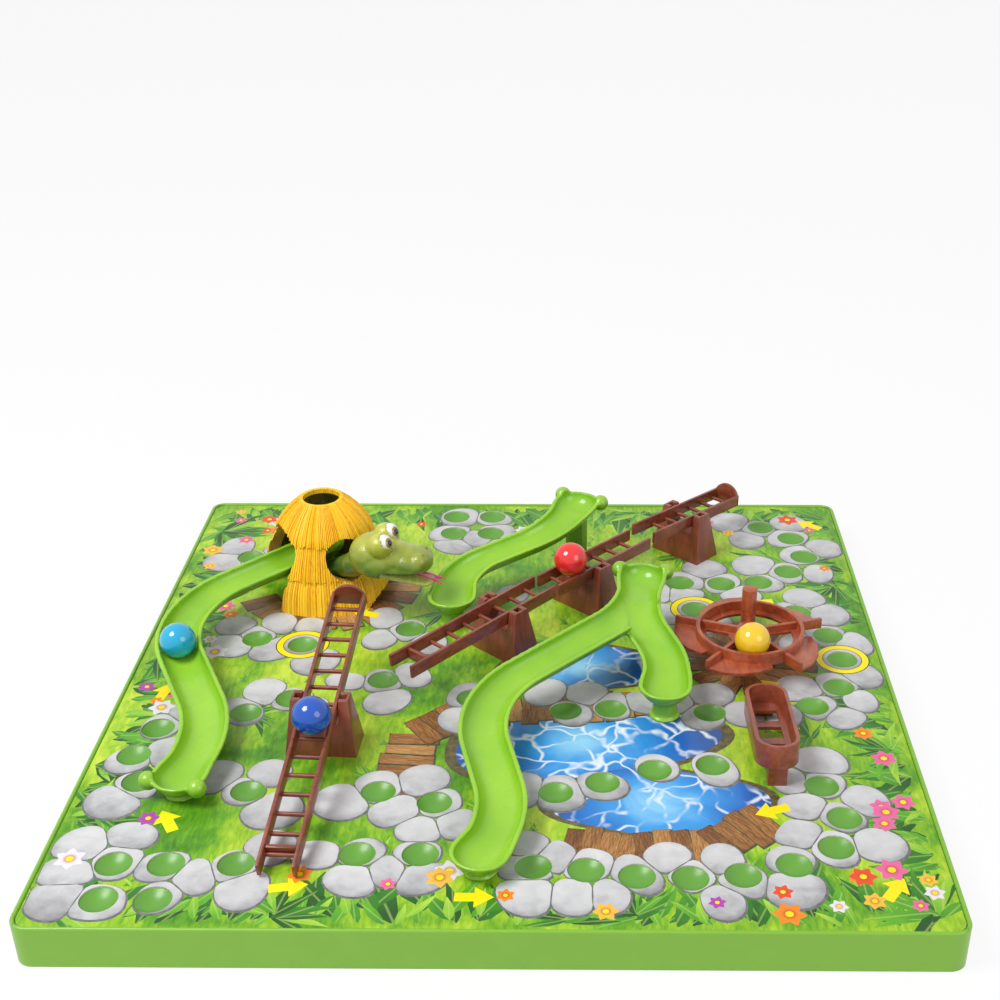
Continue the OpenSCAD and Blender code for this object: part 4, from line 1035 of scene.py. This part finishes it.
def post_round(name, at, low, high, r_low, r_high):
    """A turned post from one level up to another."""
    ring = circle_line(1.0, 0.0, 32)
    rows = [(at.x + c * r, at.y + s * r, z) for z, r in ((low, r_low), (high, r_high)) for c, s in ring]
    return bar(name, rows, chute_plastic)


def join(first, others):
    """Adds other objects' faces to the first object."""
    work = bmesh.new()
    for obj in [first] + others:
        work.from_mesh(obj.data)
    work.to_mesh(first.data)
    work.free()
    for obj in others:
        bpy.data.objects.remove(obj)
    return first


chute_plastic = Finish("chute_plastic", 0.24, Coat_Weight=0.1, Coat_Roughness=0.12)
chute_at = chute_plastic.place()
chute_flow = chute_plastic.noise(chute_at, 30.0)
# Faces that look up are made lighter and faces that look down darker: painted light and painted shade on the
# one lime plastic.
chute_top_light = chute_plastic.axis(chute_plastic.node("ShaderNodeNewGeometry", output="Normal"), "Z")
chute_plastic.colour(chute_flow * 0.6 + chute_plastic.step(chute_top_light, -0.5, 0.9) * 0.4,
                     (0.2, (0.12, 0.32, 0.012)), (0.55, (0.225, 0.50, 0.018)), (0.85, (0.34, 0.62, 0.035)))
chute_plastic.feed(Roughness=0.18 + chute_flow * 0.16)
chute_plastic.bump(chute_plastic.noise(chute_at, 1800.0, 2.0), 0.03, 0.2)

LEFT_RUN = ((-112, 95), 221, ((56, 0), (60, 75), (40, 0), (70, -40), (10, 0)))
REAR_RUN = ((35, 116), 243, ((6, 0), (48, -43), (22, 0), (28, 64), (7, 0)))
FORK_RUN = ((70.5, 40), 263, ((12, 0), (45, -43), (57, 0), (52, 65), (28, 0), (55, -42), (4, 0)))
BRANCH_RUN = ((68, 24), 270, ((8, 0), (40, 26), (12, 0), (38, -34), (6, 0)))


def chute(name, node, runs, knobs):
    """A chute of one or more runs (run, rim heights).

    Knobs (place, heading, turn, rim) stand on both sides of a spoon.
    """
    solids, hollows = [], []
    for n, (run, rim) in enumerate(runs):
        solids.append(chute_body("solid", *run, rim, CHUTE_WALL, False, n == 0))
        hollows.append(chute_body("hollow", *run, rim, 0.0, True, n == 0))
        at, _ = on_run(*run, run_length(run[2]))
        solids.append(post_round("foot", at, CARD_TOP, CARD_TOP + rim[1] - 4.0, FOOT_R, FOOT_R - 0.6))
        solids.append(post_round("flange", at, CARD_TOP, CARD_TOP + 1.4, FOOT_R + 1.6, FOOT_R + 1.2))
        solids.append(post_round("peg", at, CARD_TOP - 6.0, CARD_TOP + 1.0, 2.5, 2.5))
        if n == 0:
            solids.append(post_round("seat", Vector(run[0]), CARD_TOP + rim[0] - 11.6,
                                     CARD_TOP + rim[0] - 4.0, FOOT_R, FOOT_R))
    for place, heading, turn, rim in knobs:
        for side in (-1, 1):
            spot = Vector(place) + (SPOON_R + 1.2 + KNOB_R / 3) * toward(math.radians(heading + side * turn))
            knob_at = Vector((spot.x, spot.y, CARD_TOP + rim - KNOB_R / 3))
            knob = placed("knob", None)
            with reworked(knob.data) as work:
                bmesh.ops.create_uvsphere(work, u_segments=24, v_segments=16, radius=KNOB_R * MM,
                                          matrix=Matrix.Translation(knob_at * MM))
            solids.append(knob)
    body = smooth_body(join(solids[0], solids[1:]), 0.6, 0)
    for hollow in hollows:
        cut(body, hollow)
    smooth_body(body, 0.6, 4)
    body.name = name
    return fit(body, "board", "chute_green", node)


left_end_at, left_end_h = on_run(*LEFT_RUN, run_length(LEFT_RUN[2]))
chute("left_chute", "slide_left", [(LEFT_RUN, (27.7, 11.0))], [(left_end_at, left_end_h, 62, 11.0)])
chute("rear_chute", "slide_rear", [(REAR_RUN, (44.0, 18.0))], [(REAR_RUN[0], REAR_RUN[1], 118, 44.0)])
chute("forked_chute", "slide_fork", [(FORK_RUN, (37.0, 11.0)), (BRANCH_RUN, (34.8, 18.0))],
      [(FORK_RUN[0], FORK_RUN[1], 118, 37.0)])


def round_edges(obj, width, angle):
    """Rounds an object's edges that are sharper than an angle."""
    rounded = obj.modifiers.new("edge", "BEVEL")
    rounded.width = width * MM
    rounded.segments = 2
    rounded.limit_method = "ANGLE"
    rounded.angle_limit = math.radians(angle)
    return settle(obj)


def moulded(node, edge, finish):
    """A copy of a CAD node with its seams merged and its edges rounded, as a mould leaves them."""
    mesh = frame["nodes"][node].data.copy()
    with reworked(mesh) as work:
        bmesh.ops.remove_doubles(work, verts=work.verts, dist=0.002 * MM)
        bmesh.ops.dissolve_limit(work, angle_limit=math.radians(1.0), verts=work.verts, edges=work.edges)
    mesh.materials.clear()
    obj = round_edges(placed(node + "_moulded", mesh, finish), edge, 35)
    soft_shade(obj, 32)
    return obj


post_plastic = plastic("post_plastic", (0.13, 0.33, 0.025), 0.34)
for node in ("slide_left_post", "slide_rear_post", "slide_fork_post"):
    fit(moulded(node, 0.5, post_plastic), "board", "chute_green", node)

# Trestles: hollow red-brown stands with a saddle for the ladder and open pockets for its axles.
# Each is one moulding, pressed into the deck by two pegs.
def timber_plastic(name, dark, mid, pale, stretch, turn=0.0):
    """Glossy brown plastic with a moulded wood grain that runs along one direction."""
    finish = Finish(name, 0.3, Coat_Weight=0.2, Coat_Roughness=0.2)
    grain = finish.noise(finish.place(stretch, turn), 330.0, 4.0, 0.5)
    cloud = finish.noise(finish.place(), 55.0)
    finish.colour(grain * 0.5 + cloud * 0.5, (0.3, dark), (0.5, mid), (0.72, pale))
    finish.feed(Roughness=0.24 + grain * 0.16)
    finish.bump(grain, 0.14, 0.3)
    return finish


trestle_brown = timber_plastic("trestle_brown", (0.13, 0.026, 0.012), (0.23, 0.05, 0.024),
                               (0.34, 0.09, 0.045), (1.0, 1.0, 0.2))
for node in ("trestle_front", "trestle_low", "trestle_mid", "trestle_top"):
    fit(moulded(node, 0.55, trestle_brown), "board", "ladder_brown", node)

# Ladders: four see-saws in red-brown plastic, each with two rails, round rungs and two stub axles.
# The axles drop into the trestles' pockets; a plate closes the foot and a round stop the head.
LADDER_W, RAIL_T, RAIL_H = 17.6, 1.8, 7.0
RUNG_D, RUNG_PITCH = 2.2, 11.5
AXLE_D, AXLE_OUT = 4.0, 3.4
CHAIN_AZ = 47.4
RUNG_SIZES = ("First", "Count", "Pitch", "Diameter", "Length", "Height")
LADDERS = (("ladder_front", 86.7, 11.4, 102.0, 78.0, True, True),
           ("ladder_low", CHAIN_AZ, 2.0, 73.0, 32.0, True, False),
           ("ladder_mid", CHAIN_AZ, 0.0, 32.0, 45.0, False, False),
           ("ladder_top", CHAIN_AZ, -3.0, 40.0, 41.0, False, True))


def rung_tree(finish):
    """Rungs spaced along X from a first place, as turned bars across the ladder."""
    tree = bpy.data.node_groups.new("ladder_rungs", "GeometryNodeTree")
    nodes = Nodes(tree)
    names = {}
    for label in RUNG_SIZES:
        kind = "NodeSocketInt" if label == "Count" else "NodeSocketFloat"
        names[label] = tree.interface.new_socket(label, in_out="INPUT", socket_type=kind).identifier
    tree.interface.new_socket("Geometry", in_out="OUTPUT", socket_type="NodeSocketGeometry")
    given = {label: nodes.node("NodeGroupInput", output=label) for label in RUNG_SIZES}
    first = nodes.node("ShaderNodeCombineXYZ", {}, {"X": given["First"], "Z": given["Height"]})
    pitch = nodes.node("ShaderNodeCombineXYZ", {}, {"X": given["Pitch"]})
    row = nodes.node("GeometryNodeMeshLine", {"mode": "OFFSET"}, {
        "Count": given["Count"], "Start Location": first, "Offset": pitch})
    rung = nodes.node("GeometryNodeMeshCylinder", {"fill_type": "NGON"}, {
        "Vertices": 16, "Radius": given["Diameter"] * 0.5, "Depth": given["Length"]})
    rung = nodes.node("GeometryNodeSetShadeSmooth", {}, {"Geometry": rung})
    rungs = nodes.node("GeometryNodeInstanceOnPoints", {}, {
        "Points": row, "Instance": rung, "Rotation": (math.radians(90), 0.0, 0.0)})
    real = nodes.node("GeometryNodeRealizeInstances", {}, {"Geometry": rungs})
    dressed = nodes.node("GeometryNodeSetMaterial", {}, {"Geometry": real, "Material": finish.material})
    nodes.join(dressed, tree.nodes.new("NodeGroupOutput").inputs["Geometry"])
    return tree, names


def bar_box(work, low, high):
    """A square bar between two corners, in millimetres."""
    low, high = Vector(low) * MM, Vector(high) * MM
    for v in bmesh.ops.create_cube(work, size=1.0)["verts"]:
        v.co = Vector((low[i] + (v.co[i] + 0.5) * (high[i] - low[i]) for i in range(3)))


def ladder(name, az, tilt, arm_a, arm_b, foot_plate, head_stop):
    finish = timber_plastic(name + "_brown", (0.12, 0.022, 0.010), (0.22, 0.045, 0.02),
                            (0.33, 0.085, 0.04), (0.12, 1.0, 1.0), -math.radians(az))
    rails = placed(name + "_rails", None, finish)
    half_w, half_h = LADDER_W / 2, RAIL_H / 2
    with reworked(rails.data) as work:
        for low in (-half_w, half_w - RAIL_T):
            bar_box(work, (-arm_a, low, -half_h), (arm_b, low + RAIL_T, half_h))
        if foot_plate:
            bar_box(work, (-arm_a + 11, -half_w + RAIL_T / 2, -half_h),
                    (-arm_a + 13, half_w - RAIL_T / 2, half_h - 1))
        if head_stop:
            line = [(-half_w, -half_h), (half_w, -half_h)] + arc(half_w, 20, math.pi)
            back = [work.verts.new(Vector((arm_b, y, z)) * MM) for y, z in line]
            front = [work.verts.new(Vector((arm_b - 2.0, y, z)) * MM) for y, z in line]
            work.faces.new(back)
            work.faces.new(front[::-1])
            for i in range(len(line)):
                work.faces.new((back[i - 1], front[i - 1], front[i], back[i]))
    round_edges(outward(rails), 0.4, 30)

    tree, names = rung_tree(finish)
    last_a = math.floor((arm_a - RUNG_PITCH / 2) / RUNG_PITCH)
    last_b = math.floor((arm_b - RUNG_PITCH / 2) / RUNG_PITCH)
    rungs = placed("rungs", None)
    nodes = rungs.modifiers.new("rungs", "NODES")
    nodes.node_group = tree
    for key, value in (("First", -last_a * RUNG_PITCH * MM), ("Count", last_a + last_b + 1),
                       ("Pitch", RUNG_PITCH * MM), ("Diameter", RUNG_D * MM),
                       ("Length", (LADDER_W - RAIL_T) * MM), ("Height", -RUNG_D / 2 * MM)):
        nodes[names[key]] = value
    bars = [settle(rungs)]
    for side in (-1, 1):
        axle = placed("axle", None)
        out = Matrix.Translation((0, side * (half_w + (AXLE_OUT - RAIL_T / 2) / 2) * MM, 0))
        with reworked(axle.data) as work:
            bmesh.ops.create_cone(work, cap_ends=True, segments=24, radius1=AXLE_D / 2 * MM,
                                  radius2=AXLE_D / 2 * MM, depth=(RAIL_T / 2 + AXLE_OUT) * MM,
                                  matrix=out @ Matrix.Rotation(math.radians(90), 4, "X"))
        bars.append(axle)
    join(rails, bars)
    joint = next(j for j in frame["joints"] if j["child"] == name)
    pivot = Vector(joint["pos_m"])
    spin = Matrix.Rotation(math.radians(az), 4, "Z") @ Matrix.Rotation(-math.radians(tilt), 4, "Y")
    rails.data.transform(Matrix.Translation(pivot) @ spin)
    soft_shade(rails, 32)
    return fit(rails, name, "ladder_brown", name)


for row in LADDERS:
    ladder(*row)

# Hand mill: a fixed base with a spindle, and an orange-brown wheel of five spokes and sails on it.
# The wheel is one moulding; its upright handle stands on one spoke.
fit(moulded("mill_base", 0.5, trestle_brown), "board", "ladder_brown", "mill_base")
wheel_brown = timber_plastic("wheel_brown", (0.20, 0.032, 0.010), (0.36, 0.065, 0.020),
                             (0.50, 0.13, 0.04), (1.0, 0.25, 1.0), 0.4)
fit(moulded("mill_wheel", 0.35, wheel_brown), "mill_wheel", "wheel_brown", "mill_wheel")

# Trough: a round-ended tray with three windows in its floor, tilted so that a ball runs out of the mill.
# It is one brown moulding with two posts, which are pressed into the deck.
trough_brown = timber_plastic("trough_brown", (0.14, 0.025, 0.010), (0.25, 0.05, 0.022),
                              (0.36, 0.09, 0.042), (1.0, 0.15, 1.0))
fit(moulded("mill_trough", 0.6, trough_brown), "board", "ladder_brown", "mill_trough")

# Balls: four playing balls in hard glossy plastic, loose on the chutes, the ladders and the mill.
# Each is moulded in two halves, which leaves a fine parting line round its middle.
BALL_COLOURS = {"ball_cyan": (0.0, 0.40, 0.68), "ball_blue": (0.0, 0.075, 0.46),
                "ball_red": (0.83, 0.02, 0.02), "ball_yellow": (0.95, 0.60, 0.012)}
SEAM_W, SEAM_DEPTH = 0.25 * MM, 0.004
SEAM_LEAN = Matrix.Rotation(math.radians(35), 3, (0.6, 0.8, 0.0))
for name, colour in BALL_COLOURS.items():
    low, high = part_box(name)
    middle, radius = (low + high) / 2, (high - low).z / 2
    gloss = plastic(name + "_plastic", colour, 0.1, 0.015, 0.06, Coat_Weight=0.4)
    ball = placed(name + "_gloss", None, gloss)
    with reworked(ball.data) as work:
        bmesh.ops.create_uvsphere(work, u_segments=64, v_segments=48, radius=radius)
        for v in work.verts:
            groove = math.exp(-(v.co.z / SEAM_W) ** 2)
            v.co = SEAM_LEAN @ (v.co * (1.0 - SEAM_DEPTH * groove)) + middle
        for face in work.faces:
            face.smooth = True
    fit(ball, name, name, name)
